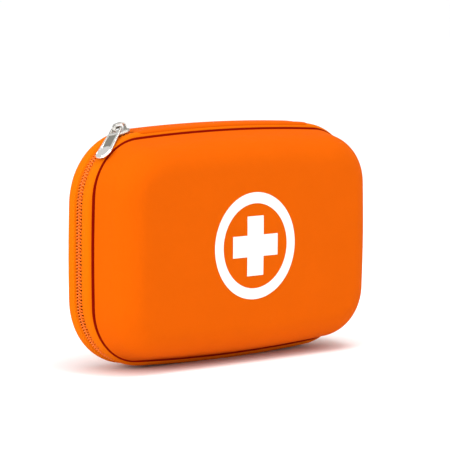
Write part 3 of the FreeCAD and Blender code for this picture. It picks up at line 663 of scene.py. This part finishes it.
def film(name, rows, stands_for, finish):
    """Printed film from rows of (x, z) points: it lies on the crowned face, a film's thickness proud, and its rim
    runs down into the cloth."""
    x, z = rows[..., 0], rows[..., 1]
    top = np.stack([x, -face_depth(x, z) - FILM, z], -1)
    edges = [top[k] + 0.5 * Y_AXIS for k in (0, -1)]
    surface(name, "lid", "badge_print", (np.concatenate([edges[0][None], top, edges[1][None]]),
                                         np.concatenate([rows[:1], rows, rows[-1:]]), finish),
            stands_for=[stands_for])


def badge(finish):
    """Plain ring and Greek cross: ring rows are circles, and cross rows are its twelve-cornered outline scaled."""
    angle = np.linspace(0, 2 * pi, 145)
    around = np.stack([np.cos(angle), np.sin(angle)], -1)
    ring_rows = np.linspace(BADGE_INNER, BADGE_RADIUS, 5)[:, None, None] * around + [0, MIDDLE]
    film("badge_ring_print", ring_rows, "badge_ring", finish)
    arm, half = CROSS_HALF, CROSS_WIDTH / 2
    quarter = np.array([(arm, -half), (arm, half), (half, half)])
    turns = [np.array([[0, -1], [1, 0]]), np.array([[-1, 0], [0, -1]]), np.array([[0, 1], [-1, 0]])]
    corners = np.concatenate([quarter] + [quarter @ turn.T for turn in turns] + [quarter[:1]])
    steps = np.linspace(0, 1, 7)[:-1, None]
    line = np.concatenate([a + (b - a) * steps for a, b in zip(corners, corners[1:])] + [corners[:1]])
    cross_rows = np.linspace(0.0, 1, 8)[:, None, None] * line + [0, MIDDLE]
    film("badge_cross_print", cross_rows, "badge_cross", finish)


# ---------------------------------------------------------------- zip
PITCH = 1.85
COIL_MIDDLE, COIL_REACH, COIL_SEAM_AT = 0.98, 1.12, 1.55
COIL_DEPTH, COIL_HALF = 1.35, 0.55


def coil(side):
    """Nylon coil of one half of the zip: a flattened helix along the rim, half a pitch off from the other half's,
    so that the heads lie between each other."""
    turns = (RIM_AT[-1] - 2 * ZIP_START) / PITCH
    steps = int(turns) * 14
    distance = np.linspace(ZIP_START, RIM_AT[-1] - ZIP_START, steps)
    angle = 2 * pi * (distance - ZIP_START) / PITCH + (pi if side == FRONT else 0)
    across, down = (np.sign(part) * np.abs(part) ** 0.75 for part in (np.cos(angle), np.sin(angle)))
    path, _, ahead = rim_at(distance, COIL_DEPTH - COIL_HALF * down)
    path = path + (side * (COIL_MIDDLE - COIL_REACH * across))[:, None] * Y_AXIS
    grid = tube(path, 0.42, ahead, 6)
    surface(SIDE_NAME[side] + "_coil_helix", BODY[side], "zip_coil", (capped(grid), None, COIL),
            stands_for=[SIDE_NAME[side] + "_coil"], crease=80)
    rows = np.arange(ZIP_START + 1, RIM_AT[-1] - ZIP_START - 1, PITCH)
    stitches(SIDE_NAME[side] + "_coil_stitches", BODY[side], "zip_coil", rows, COIL_DEPTH - COIL_HALF - 0.30,
             side * COIL_SEAM_AT, 1.5, 0.17, THREAD)


def tape(side):
    """Zip tape: a flat woven strip under the coil, sewn in behind the rim band's lip."""
    distance = np.linspace(ZIP_START - 1, RIM_AT[-1] - ZIP_START + 1, 420)
    path, out, _ = rim_at(distance, 2.95)
    profile = pill(0.22, 3.7, 0.3, 20) + [0, side * 4.3]
    around = lengths(profile)
    flat = spread(distance[:, None], around[None])
    grid = sweep(path, out, Y_AXIS, profile)
    surface(SIDE_NAME[side] + "_zip_tape", BODY[side], "zip_tape", (capped(grid), capped_flat(flat), TAPE_CLOTH),
            stands_for=[SIDE_NAME[side] + "_tape"])


def binding(side):
    """Folded tape over the raw edges inside the rim: a soft pillow profile all the way round, with its stitches."""
    low, high = box_mm(SIDE_NAME[side] + "_binding")
    middle_y = (low[1] + high[1]) / 2
    inset = HALF_WIDTH - high[0] + 0.9
    path, out, _ = rim_at(RIM_AT, inset)
    profile = pill(0.86, 1.42, 0.55, 28) + [0, middle_y]
    flat = spread(RIM_AT[:, None], lengths(profile)[None])
    surface(SIDE_NAME[side] + "_edge_binding", BODY[side], "binding_tape",
            (sweep(path, out, Y_AXIS, profile), flat, BINDING_CLOTH),
            stands_for=[SIDE_NAME[side] + "_binding"])
    rows = np.arange(0, RIM_AT[-1] - 1, 3.1)
    stitches(SIDE_NAME[side] + "_binding_stitches", BODY[side], "binding_tape", rows, inset + 0.86, middle_y,
             2.2, 0.2, THREAD)


# ---------------------------------------------------------------- hinge
STRIP_REACH = box_mm("rear_hinge_strip")[1][0]
HINGE_TOP = JOINTS["lid_hinge"]["pos_m"][2] / MM
BEND_HALF = 3.5


def bend_at_hinge(strip):
    """Puts a cloth strip's placing into its mesh. The two lines on either side of the hinge are worked out, but nothing
    bends the strip between them or carries it on either half.
    """
    rear, front = ((0, (PARTING - side * BEND_HALF) * MM, HINGE_TOP * MM) for side in (FRONT, REAR))
    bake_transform(strip)


def hinge_strip():
    """Cloth hinge over both bands: rows across from the rear crease to the front one, following the bands' own
    height plus the cloth, straight over the zip gap, and drawn down at its rounded ends."""
    half, reach = STRIP_REACH + 0.6, 9.3
    x = half * np.sin(np.linspace(-pi / 2, pi / 2, 120))
    y = reach * np.sin(np.linspace(-pi / 2, pi / 2, 64))
    x, y = np.meshgrid(x, y)
    end = clamp((np.abs(x) - (half - 4.0)) / 4.0)
    y = y * (1 - 0.16 * (1 - np.sqrt(1 - end ** 2)))
    turn = clamp((np.abs(y) - BAND_TURN) / (CREASE_AT - BAND_TURN))
    drop = CREASE_INSET * (1 - np.sqrt(1 - turn ** 2))
    base = np.interp(-np.abs(x), RIM[:40, 0][::-1], RIM[:40, 2][::-1])
    edge = np.maximum(np.abs(x) / half, np.abs(y) / reach)
    puff = 0.85 * (1 - clamp((edge - 0.93) / 0.07) ** 3)
    dip = 0.25 * np.exp(-(y / 2.4) ** 2)
    top, under = base - drop + puff - dip, base - drop - 0.15 - dip
    upper, lower = np.stack([x, y, top], -1), np.stack([x, y, under], -1)
    flat = np.stack([x, y], -1)
    sheets = [(upper, flat, SHELL_CLOTH), (lower, flat, SHELL_CLOTH)]
    sheets += [(row, None, SHELL_CLOTH) for row in skirt((upper, lower))]
    strip = surface("hinge_cloth", None, "shell_fabric", *sheets,
                    stands_for=["rear_hinge_strip", "front_hinge_strip"])
    bend_at_hinge(strip)
    return strip


def hinge_lining():
    """Inner hinge cloth under the zip gap: a thin strip from binding to binding with a shallow fold in the middle."""
    low, high = box_mm("rear_hinge_lining")
    x, y = np.meshgrid(np.linspace(-high[0], high[0], 60), np.linspace(-high[1], high[1], 24))
    height = (low[2] + high[2]) / 2 + 0.5 - 0.5 * np.cos(pi * y / high[1]) * 0.6
    faces = [np.stack([x, y, height + part], -1) for part in (0.2, -0.2)]
    flat = np.stack([x, y], -1)
    strip = surface("hinge_inner_cloth", None, "lining_fabric", *[(face, flat, LINING_CLOTH) for face in faces],
                    *[(row, None, LINING_CLOTH) for row in skirt(faces)],
                    stands_for=["rear_hinge_lining", "front_hinge_lining"])
    bend_at_hinge(strip)


# ---------------------------------------------------------------- slider and pull
ARC_CENTRE, BAR = (np.array(JOINTS[name]["pos_m"]) / MM - PARTING * Y_AXIS
                   for name in ("slider_travel", "pull_swing"))
SLIDER_TURN = radians(104.5)
SLIDER_UP = np.array([cos(SLIDER_TURN), 0, sin(SLIDER_TURN)])
SLIDER_NOSE = np.cross(Y_AXIS, SLIDER_UP)
SLIDER_AT = ARC_CENTRE + CORNER * SLIDER_UP
PULL_HANG, PULL_LEAN = radians(23.5), radians(21)


def on_slider(grid):
    return SLIDER_AT + grid[..., :1] * SLIDER_NOSE + grid[..., 1:2] * Y_AXIS + grid[..., 2:] * SLIDER_UP


def on_pull(grid):
    """From the pull's own axes (along, across, out of its face) to the case: it hangs below the slider's plane
    and leans to the front."""
    down = (-cos(PULL_HANG) * SLIDER_NOSE - sin(PULL_HANG) * SLIDER_UP) * cos(PULL_LEAN) - Y_AXIS * sin(PULL_LEAN)
    face = -sin(PULL_HANG) * SLIDER_NOSE + cos(PULL_HANG) * SLIDER_UP
    return BAR + grid[..., :1] * down + grid[..., 1:2] * np.cross(face, down) + grid[..., 2:] * face


def bar(x, half, low, high, power=0.35, count=40):
    """Bar along x of rounded-rectangle sections: half wide at each station, from low to high."""
    x, half, low, high = (np.broadcast_to(part, np.shape(x))[:, None] for part in (x, half, low, high))
    profile = pill(1.0, 1.0, power, count)
    y, z = profile[None, :, 0] * half, (low + high) / 2 + profile[None, :, 1] * (high - low) / 2
    return capped(spread(x, y, z))


def plate(start, stop, widths, low, high, rounding=0.5):
    """Bar whose half width follows (x, half) knots and whose thickness and width round off at both ends."""
    x, share = stations(start, stop, rounding)
    knots = np.array(widths)
    half = np.interp(x, knots[:, 0], knots[:, 1]) * (0.75 + 0.25 * share)
    middle, depth = (low + high) / 2, (high - low) / 2
    return bar(x, half, middle - depth * share, middle + depth * share)


def slider():
    """Slider of two plates on a wedge, with rolled side rails and an arched crown that holds the pull's bar."""
    widths = [(-4.1, 3.0), (-1.5, 3.55), (3.2, 3.6), (5.9, 2.5)]
    under = [(-4.0, 3.0), (-1.5, 3.5), (2.2, 3.5), (4.4, 2.3)]
    parts = [plate(-4.1, 5.9, widths, 0.75, 2.3), plate(-4.0, 4.4, under, -4.6, -3.5, 0.4),
             plate(2.0, 4.4, [(2.0, 0.25), (4.4, 0.45)], -3.8, 1.2, 0.2)]
    for side in (-1, 1):
        x, share = stations(-3.9, 5.2, 0.6)
        centre = side * (np.interp(x, [-4, -1.5, 3.0, 5.2], [2.85, 3.35, 3.4, 2.7]))
        rail = bar(x, 0.38 * share, 0.35 + 0 * x, 1.5 + 0 * x, 0.6, 16)
        rail[..., 1] += np.concatenate([centre[:1], centre, centre[-1:]])[:, None]
        parts.append(rail)
    surface("slider_plates", "slider", "slider_metal", *[(on_slider(part), None, NICKEL) for part in parts],
            stands_for=["slider_body"], crease=50)
    knots = [(-3.4, 1.9), (-3.5, 3.6), (-3.35, 5.4), (-2.4, 6.3), (-0.6, 6.45), (1.8, 6.4), (3.6, 5.6), (4.3, 4.2),
             (4.6, 1.9)]
    line = smooth_line(knots, 6)
    path = np.stack([line[:, 0], 0 * line[:, 0], line[:, 1]], -1)
    ahead = unit(np.gradient(path, axis=0))
    arch = sweep(path, np.cross(ahead, Y_AXIS), Y_AXIS, pill(0.48, 1.35, 0.45, 28))
    surface("slider_arch", "slider", "slider_metal", (on_slider(capped(arch)), None, NICKEL),
            stands_for=["slider_crown"], crease=50)


def pull():
    """Pull: a squared eye round the bar, and a paddle whose face is a raised rim, a sunk panel and a domed thumb pad.
    Height = rounded edge - the panel's depth inside its outline + the dome 1 - (r / radius)^2 over the pad."""
    angle = np.linspace(0, pi / 2, 26)
    straight = np.linspace(5.0, PULL_LENGTH - PULL_END, 90)
    x = np.concatenate([straight, PULL_LENGTH - PULL_END + PULL_END * np.sin(angle[1:])])
    half = np.concatenate([np.interp(straight, [0, PULL_LENGTH - PULL_END], [PULL_TOP, PULL_END]),
                           PULL_END * np.cos(angle[1:])])
    half = np.maximum(half, 1e-4)
    v = np.sin(np.linspace(-pi / 2, pi / 2, 61))
    x, y = np.broadcast_arrays(x[:, None], half[:, None] * v)
    edge = np.sqrt(clamp(1 - np.abs(v) ** 12)) * clamp((x - 5.0) / 0.5) ** 0.5
    tip = clamp((PULL_LENGTH - x) / 0.45) ** 0.5
    from_pad = np.hypot(x - PAD_AT, y)
    panel = [(x - PANEL_START) / 0.35, (PANEL_HALF + 0.028 * (x - PANEL_START) - np.abs(y)) / 0.35,
             (from_pad - PAD_RADIUS - 0.1) / 0.5]
    sunk = np.prod([clamp(part) for part in panel], 0)
    sunk = sunk * (x < PAD_AT)
    dome_top = clamp(1 - (from_pad / PAD_RADIUS) ** 2) * 0.75
    groove = np.exp(-((from_pad - PAD_RADIUS) / 0.28) ** 2) * 0.28 * (np.abs(y) < PULL_END - 0.5)
    top = (0.62 + dome_top - 0.5 * sunk - groove) * edge * tip
    back = -0.62 * edge * tip
    flat = np.stack([x, y], -1)
    parts = [(on_pull(np.stack([x, y, face], -1)), flat, PULL_METAL) for face in (top, back)]
    turn = np.linspace(0, 2 * pi, 97)
    shape = [np.sign(part) * np.abs(part) ** 0.42 for part in (np.cos(turn), np.sin(turn))]
    path = np.stack([2.75 + 3.0 * shape[0], 3.15 * shape[1], 0 * turn], -1)
    ahead = unit(np.roll(path, -1, 0) - np.roll(path, 1, 0))
    ahead[-1] = ahead[0]
    out = np.cross(ahead, Z_AXIS)
    eye = sweep(path, out, Z_AXIS, pill(0.72, 0.64, 0.55, 20))
    parts.append((on_pull(eye), None, NICKEL))
    surface("pull_paddle", "pull", "slider_metal", *parts, stands_for=["pull_tab"], crease=45)


# ---------------------------------------------------------------- inside
def lining(side):
    """Lining cloth pressed over the inside of the shell: an outer and an inner dome a cloth's thickness apart."""
    gap = {FRONT: 0.4, REAR: 0.6}[side]
    base = CREASE_INSET + WALL + gap + 1.5 * tan(DRAFT[side])
    depth, rounding = DEPTH[side] - WALL - LINING_GAP, CAVITY_ROUND[side] - LINING_GAP
    outer, outer_flat = dome(side, base, depth, rounding, 8.5)
    inner, inner_flat = dome(side, base + LINING, depth - LINING, rounding - LINING, 8.5)
    surface(SIDE_NAME[side] + "_pressed_lining", BODY[side], "lining_fabric",
            (mirrored(np.concatenate([outer, inner[::-1]]), side), np.concatenate([outer_flat, inner_flat[::-1]]),
             LINING_CLOTH), stands_for=[SIDE_NAME[side] + "_lining"])


def turned(name, node, axis, slot, wall_finish, end_finish, bore=0.0, soft=1.2, slack=0.18):
    """Wound roll: a profile turned round its axis. Radius on the wall = the roll's radius plus a slight two- and
    five-lobed slack; each end is a flat ring with a rounded outer edge, its flat cloth (radius, turns)."""
    low, high = box_mm(node)
    middle, span = (low + high) / 2, (high - low) / 2
    along = {"y": 1, "z": 2}[axis]
    radius, half = span[0], span[along]
    turn = np.linspace(0, 2 * pi, 121)
    lobes = slack * (0.6 * np.sin(2 * turn + 0.7) + 0.4 * np.sin(5 * turn + 1.9) - 1.0)
    bend = np.linspace(0, pi / 2, 7)
    wall_z = np.linspace(-half + soft, half - soft, 12)
    wall_r = np.full(12, radius)
    corner_r, corner_z = radius - soft * (1 - np.cos(bend)), half - soft + soft * np.sin(bend)
    rows_r = np.concatenate([corner_r[::-1], wall_r[1:-1], corner_r])
    rows_z = np.concatenate([-corner_z[::-1], wall_z[1:-1], corner_z])

    def turned_rows(row_r, row_z, share=1.0):
        reach = row_r[:, None] + lobes * share
        u, v, w = reach * np.cos(turn), reach * np.sin(turn), np.broadcast_to(row_z[:, None], reach.shape)
        place = (u, v, w) if axis == "z" else (u, w, v)
        return middle + np.stack(place, -1)

    wall_flat = spread(turn[None] * radius, rows_z[:, None])
    sheets = [(turned_rows(rows_r, rows_z), wall_flat, wall_finish)]
    share = np.linspace(1, 0, 16)
    end_r = bore + (corner_r[-1] - bore) * share
    for side in (-1, 1):
        dish = side * (half - 0.5 * (1 - share) * (share > 0.02))
        reach = end_r[:, None] + lobes * share[:, None]
        u, v, w = reach * np.cos(turn), reach * np.sin(turn), np.broadcast_to(dish[:, None], reach.shape)
        grid = middle + np.stack((u, v, w) if axis == "z" else (u, w, v), -1)
        flat = spread(reach, turn[None] / (2 * pi))
        sheets.append((grid, flat, end_finish))
    if bore:
        bore_z = np.linspace(-half + 0.5, half - 0.5, 4)
        grid = turned_rows(np.full(4, bore), bore_z, 0.0)
        sheets.append((grid, None, end_finish))
    return surface(name, BODY[REAR], slot, *sheets, stands_for=[node])


def hug_band(name, node, knots, width, across, slot, wall=1.0):
    """Woven elastic carried along a smooth line of (place, y) knots: a flat rounded section, its ends sewn to the
    lining; across is the axis the knots run along, and the band's width lies along the other one."""
    low, high = box_mm(node)
    line = smooth_line(knots, 10)
    flat_axis = {"x": 2, "z": 0}[across]
    middle = (low[flat_axis] + high[flat_axis]) / 2
    path = np.zeros((len(line), 3))
    path[:, {"x": 0, "z": 2}[across]], path[:, 1], path[:, flat_axis] = line[:, 0], line[:, 1], middle
    width_way = np.zeros(3)
    width_way[flat_axis] = 1.0
    ahead = unit(np.gradient(path, axis=0))
    out = np.cross(ahead, width_way)
    profile = pill(wall / 2, width / 2, 0.3, 28)
    grid = sweep(path, out, width_way, profile)
    flat = spread(lengths(path)[:, None], lengths(profile)[None])
    return surface(name, "case", slot, (capped(grid), capped_flat(flat), ELASTIC), stands_for=[node])


def pouch(name, node, body, slot, finish, seal=3.0, seed=1, ribs=True):
    """Filled sachet in its node's box: front and back = a pillow (1 - u^4)(1 - v^4) inside a flat crimped seal, plus
    wrinkles that grow towards the edges. Its edge has fine crimp teeth."""
    low, high = box_mm(node)
    middle, span = (low + high) / 2, (high - low) / 2
    u = np.sin(np.linspace(-pi / 2, pi / 2, 90))
    v = np.sin(np.linspace(-pi / 2, pi / 2, 70))
    u, v = np.meshgrid(u, v)
    x, z = u * (span[0] - 0.3), v * (span[2] - 0.3)
    teeth = 0.16 * np.sin(z * 4.2) * (np.abs(u) > 0.999)
    x = x + teeth
    inner_u = clamp(np.abs(x) / (span[0] - seal))
    inner_v = clamp(np.abs(z) / (span[2] - seal))
    pillow = ((1 - inner_u ** 4) * (1 - inner_v ** 4)) ** 0.55
    wave = (np.sin(x * 0.31 + seed) * np.sin(z * 0.27 + 2.1 * seed) + 0.6 * np.sin(x * 0.62 - z * 0.48 + seed)
            + 0.4 * np.sin(z * 0.9 + x * 0.23 + 1.7 * seed))
    crimp = 0.07 * np.sin(x * 3.9) * (inner_v >= 1) + 0.07 * np.sin(z * 3.9) * (inner_u >= 1) if ribs else 0
    room = span[1] - 0.25
    skin = 0.16
    puff = room * pillow * (0.84 + 0.06 * wave)
    front = -(skin + puff) + crimp
    back = skin + np.minimum(puff, room) * 0.96 + crimp
    flat = np.stack([x, z], -1)
    closed = (np.abs(u) > 0.9999) | (np.abs(v) > 0.9999)
    front, back = np.where(closed, 0.0, front), np.where(closed, 0.0, back)
    sheets = [(middle + np.stack([x, depth, z], -1), flat, finish) for depth in (front, back)]
    piece = surface(name, body, slot, *sheets, stands_for=[node], crease=60)
    return piece


def folded_pack(name, node, finish, folds, slot, seed):
    """Folded cloth or foil packed flat: a rounded block whose side shows the folds as grooves.
    Reach at each height = the box less a groove 0.7 deep and a slow wave."""
    low, high = box_mm(node)
    middle, span = (low + high) / 2, (high - low) / 2
    turn = np.linspace(0, 2 * pi, 201)
    shape = [np.sign(part) * np.abs(part) ** 0.28 for part in (np.cos(turn), np.sin(turn))]
    level = np.linspace(-1, 1, 61)
    groove = 0.45 * np.abs(np.sin(level * pi * folds / 2)) ** 0.5 - 0.45
    rounding = 2.0 * (1 - np.sqrt(clamp(1 - clamp((np.abs(level) - 0.72) / 0.28) ** 2)))
    wave = 0.22 * np.sin(turn * 3 + seed) + 0.15 * np.sin(turn * 7 + 2 * seed)
    inset = (0.4 - groove + rounding)[:, None] - wave * 0.8 + 0.3
    x, z = (span[0] - inset) * shape[0], (span[2] - inset) * shape[1]
    y = np.broadcast_to(level[:, None] * (span[1] - 0.35), x.shape)
    rows = np.stack([x, y, z], -1)
    shrink = np.cos(np.linspace(0, pi / 2, 14))[1:, None, None]
    way = np.array([1.0, 0, 1.0])
    caps = [row * (1 - way + way * shrink) for row in (rows[0], rows[-1])]
    for cap, sign in zip(caps, (-1, 1)):
        ripple = np.sin(cap[..., 0] * 0.21 + seed) * np.sin(cap[..., 2] * 0.3)
        cap[..., 1] += sign * 0.22 * ripple * (1 - shrink[..., 0])
    grid = middle + np.concatenate([caps[0][::-1], rows, caps[1]])
    flat = np.concatenate([caps[0][::-1], rows, caps[1]])[..., [0, 2]]
    piece = surface(name, "case", slot, (grid, flat, finish), stands_for=[node], crease=70)
    return piece


def net_pocket():
    """Stretched net across the lower front half: rows of x at each height, out to the lining, bulging a little
    over the packs, with an elastic hem along its top."""
    low, high = box_mm("pocket_net")
    z = np.linspace(low[2] + 0.6, high[2] + 1.5, 60)
    reach_at = RIM - 8.2 * RIM_OUT
    left = reach_at[:100]
    order = np.argsort(left[:, 2])
    half = np.abs(np.interp(z, left[order, 2], left[order, 0])) - 0.5
    half = np.minimum(half, high[0] - 0.2)
    share = np.linspace(-1, 1, 90)
    x = half[:, None] * share
    depth = (low[1] + high[1]) / 2
    bulge = 0.35 * np.sin(clamp((z - low[2]) / (high[2] - low[2])) * pi)[:, None] * (1 - share ** 2)
    faces = [np.stack([x, depth + bulge + part, np.broadcast_to(z[:, None], x.shape)], -1) for part in (0.1, -0.1)]
    flat = np.stack([x, np.broadcast_to(z[:, None], x.shape)], -1)
    net = surface("stretched_net", "lid", "pocket_mesh", *[(face, flat, NET) for face in faces],
                  *[(row, row_flat, NET) for row, row_flat in zip(skirt(faces), skirt((flat, flat)))],
                  stands_for=["pocket_net"])
    low, high = box_mm("pocket_edge")
    x = np.linspace(low[0] + 0.5, high[0] - 0.5, 160)
    ruffle = 0.12 * np.sin(x * 2.4)
    path = np.stack([x, np.full(160, (low[1] + high[1]) / 2), np.full(160, (low[2] + high[2]) / 2)], -1)
    profile = pill(0.85, 2.7, 0.45, 28)[None] * np.stack([1 + ruffle, 1 + 0 * ruffle], -1)[:, None]
    grid = sweep(path, Y_AXIS, Z_AXIS, profile)
    flat = spread(x[:, None], lengths(pill(0.85, 2.7, 0.45, 28))[None])
    hem = surface("net_hem", "lid", "pocket_mesh",
                  (capped(grid), capped_flat(flat), BINDING_CLOTH), stands_for=["pocket_edge"])


def contents():
    """Dressings, packs and tools, each in its node's place."""
    for node in ("gauze_roll_left", "gauze_roll_middle"):
        turned(node + "_wound", node, "z", "gauze", GAUZE, GAUZE_END)
    turned("support_roll_wound", "support_roll", "z", "support_bandage", SUPPORT, SUPPORT_END, slack=0.3)
    spool_high = box_mm("tape_spool")[1]
    spool_radius = spool_high[0] - (box_mm("tape_spool")[0][0] + spool_high[0]) / 2
    turned("tape_roll_wound", "tape_roll", "y", "adhesive_tape", PAPER_TAPE, TAPE_END, spool_radius + 0.3, 0.5, 0.03)
    turned("tape_core_ring", "tape_spool", "y", "spool_plastic", SPOOL, SPOOL, 9.2, 0.4, 0.0)
    low, high = box_mm("roll_strap")
    front, back = low[1] + 0.4, high[1] - 0.3
    roll_low = box_mm("gauze_roll_left")[0]
    last_low, last_high = box_mm("support_roll")
    middle = (last_low[1] + last_high[1]) / 2
    knots = [(low[0] + 0.4, back), (roll_low[0] - 0.5, back - 1.8), (roll_low[0] - 0.75, middle),
             (roll_low[0] + 0.4, middle - 7.5),
             (roll_low[0] + 5.0, front + 2.2), (roll_low[0] + 12.0, front + 0.9), (-52.0, front + 1.0),
             (-30.0, front + 1.0), (-12.0, front + 0.8), (last_low[0] + 13.0, front), (last_high[0] - 7.0, front + 1.8),
             (last_high[0] - 0.6, middle - 8.0), (last_high[0] + 0.75, middle),
             (last_high[0] + 0.5, back - 1.8), (high[0] - 0.4, back)]
    hug_band("roll_elastic", "roll_strap", knots, high[2] - low[2], "x", "elastic")
    low, high = box_mm("pack_strap")
    front, back = low[1] + 0.5, high[1] - 0.3
    halfway = (front + back) / 2
    knots = [(low[2] + 0.3, back), (low[2] + 2.2, back - 1.6), (low[2] + 2.6, halfway), (low[2] + 3.6, front + 1.2),
             (low[2] + 9.0, front), (high[2] - 9.0, front), (high[2] - 3.6, front + 1.2), (high[2] - 2.6, halfway),
             (high[2] - 2.2, back - 1.6), (high[2] - 0.3, back)]
    hug_band("pack_elastic", "pack_strap", knots, high[0] - low[0], "z", "elastic", 0.8)
    for node in ("scissor_strap", "tweezer_strap"):
        low, high = box_mm(node)
        front, back = low[1] + 0.4, high[1] - 0.3
        knots = [(low[2] + 0.3, back), (low[2] + 2.3, back - 0.8), (low[2] + 2.9, (front + back) / 2),
                 (low[2] + 4.4, front), ((low[2] + high[2]) / 2, front - 0.05), (high[2] - 4.4, front),
                 (high[2] - 2.9, (front + back) / 2), (high[2] - 2.3, back - 0.8), (high[2] - 0.3, back)]
        hug_band(node.replace("strap", "elastic"), node, knots, high[0] - low[0], "z", "elastic", 0.7)
    folded_pack("foil_blanket_folded", "foil_blanket_pack", BLANKET_FOIL, 9, "foil_film", 1.0)
    folded_pack("bandage_folded", "triangular_bandage_pack", STERILE_WRAP, 7, "sterile_wrap", 2.3)
    pouch("plaster_sachet", "plaster_pack", "lid", "plaster_wrap", PLASTER_WRAP, 3.5, 1.0)
    pouch("wipe_sachet", "wipe_pack", "lid", "wipe_foil", WIPE_FOIL, 4.0, 2.0)
    pouch("glove_sachet", "glove_pack", "lid", "glove_film", GLOVE_FILM, 3.0, 3.0)
    net_pocket()


CARRIED = {"tweezers": STEEL, "scissor_blade_fixed": STEEL, "scissor_blade_moving": STEEL, "scissor_rivet": NICKEL,
           "scissor_handle_fixed": HANDLE, "scissor_handle_moving": HANDLE, "rear_end_stop": NICKEL,
           "front_end_stop": NICKEL}


def finish_nodes():
    """Machined and moulded nodes keep their shape and take a finish of their own."""
    for node, material in CARRIED.items():
        carried = frame["nodes"][node]
        for holder in carried.material_slots:
            holder.material = material


# ---------------------------------------------------------------- studio
VIEW_AZIMUTH, VIEW_ELEVATION, VIEW_ROLL = radians(-41.663), radians(6.354), radians(0.372)
VIEW_DISTANCE, FOCAL_LENGTH = 1.6017, 215.8
AIM_SIDE, AIM_UP = radians(-0.2052), radians(-0.3299)


def camera():
    """Long lens from the lower left front. Its axes are the view's own, rolled, then turned by the two aim angles."""
    az, el = VIEW_AZIMUTH, VIEW_ELEVATION
    back = Vector((sin(az) * cos(el), -cos(az) * cos(el), sin(el)))
    right = Vector((cos(az), sin(az), 0))
    up = back.cross(right)
    right, up = (cos(VIEW_ROLL) * right + sin(VIEW_ROLL) * up, cos(VIEW_ROLL) * up - sin(VIEW_ROLL) * right)
    across = cos(AIM_SIDE) * right - sin(AIM_SIDE) * back
    behind = sin(AIM_SIDE) * right + cos(AIM_SIDE) * back
    lens_up, lens_back = (cos(AIM_UP) * up - sin(AIM_UP) * behind, sin(AIM_UP) * up + cos(AIM_UP) * behind)
    data = bpy.data.cameras.new("camera")
    data.lens, data.sensor_width = FOCAL_LENGTH, 36.0
    data.clip_end = 60.0
    made = bpy.data.objects.new("camera", data)
    place = Vector((0, PARTING * MM, MIDDLE * MM)) + back * VIEW_DISTANCE
    turn = Matrix((across, lens_up, lens_back)).transposed().to_4x4()
    made.matrix_world = Matrix.Translation(place) @ turn
    bpy.context.scene.collection.objects.link(made)
    bpy.context.scene.camera = made


def lamp(name, place, size, power, aim=(0, 0, 0.07)):
    """Square softbox at a place in metres, turned to the case."""
    data = bpy.data.lights.new(name, "AREA")
    data.size, data.energy = size, power
    made = bpy.data.objects.new(name, data)
    way = Vector(aim) - Vector(place)
    made.matrix_world = Matrix.Translation(place) @ way.to_track_quat("-Z", "Y").to_matrix().to_4x4()
    bpy.context.scene.collection.objects.link(made)


def overhead():
    """Broad light from above the front, as even over the far floor as near the case."""
    data = bpy.data.lights.new("overhead", "SUN")
    data.energy, data.angle = OVERHEAD, radians(70)
    made = bpy.data.objects.new("overhead", data)
    made.matrix_world = Vector((0.22, 0.42, -0.88)).to_track_quat("-Z", "Y").to_matrix().to_4x4()
    bpy.context.scene.collection.objects.link(made)


def studio():
    """Pale floor that runs into a pale surround, a broad light overhead, and softboxes above and on either side."""
    scene = bpy.context.scene
    scene.view_settings.view_transform = "Standard"
    world = bpy.data.worlds.new("surround")
    world.use_nodes = True
    world.node_tree.nodes["Background"].inputs["Color"].default_value = (1.0, 1.0, 1.0, 1)
    world.node_tree.nodes["Background"].inputs["Strength"].default_value = SURROUND
    scene.world = world
    made = Finish("floor_paper", {"Specular IOR Level": 0.0, "Roughness": 0.95})
    made.feed("Base Color", made.mix(made.noise(3.0), (0.93, 0.93, 0.93, 1), (0.95, 0.95, 0.95, 1)))
    bpy.ops.mesh.primitive_circle_add(vertices=96, radius=30.0, fill_type="NGON", location=(0, 0, 0))
    floor = bpy.context.object
    floor.name = "floor"
    floor.data.materials.append(made.material)
    overhead()
    for softbox in SOFTBOXES:
        lamp(*softbox)


SURROUND, OVERHEAD = 0.74, 1.2
SOFTBOXES = [("key", (0.1, -0.45, 2.2), 0.9, 17.0), ("side", (-2.0, -0.15, 0.75), 0.8, 20.0),
             ("fill", (1.5, -1.9, 0.5), 0.9, 3.0)]

studio()
camera()
for half in (REAR, FRONT):
    shell(half)
    band(half)
    lining(half)
    binding(half)
    coil(half)
    tape(half)
RIM_SEAM_AT, RIM_STITCH = 3.7, 2.9
rows = np.arange(3.0, RIM_AT[-1] - 3.0, RIM_STITCH)
rows = rows[(rows > ZIP_START + 6) & (rows < RIM_AT[-1] - ZIP_START - 6)]
for half in (REAR, FRONT):
    stitches(SIDE_NAME[half] + "_rim_stitches", BODY[half], "shell_fabric", rows,
             np.full(len(rows), band_inset(RIM_SEAM_AT)), half * RIM_SEAM_AT, 2.3, 0.24, THREAD)
badge(PRINT)
hinge_strip()
hinge_lining()
slider()
pull()
contents()
finish_nodes()
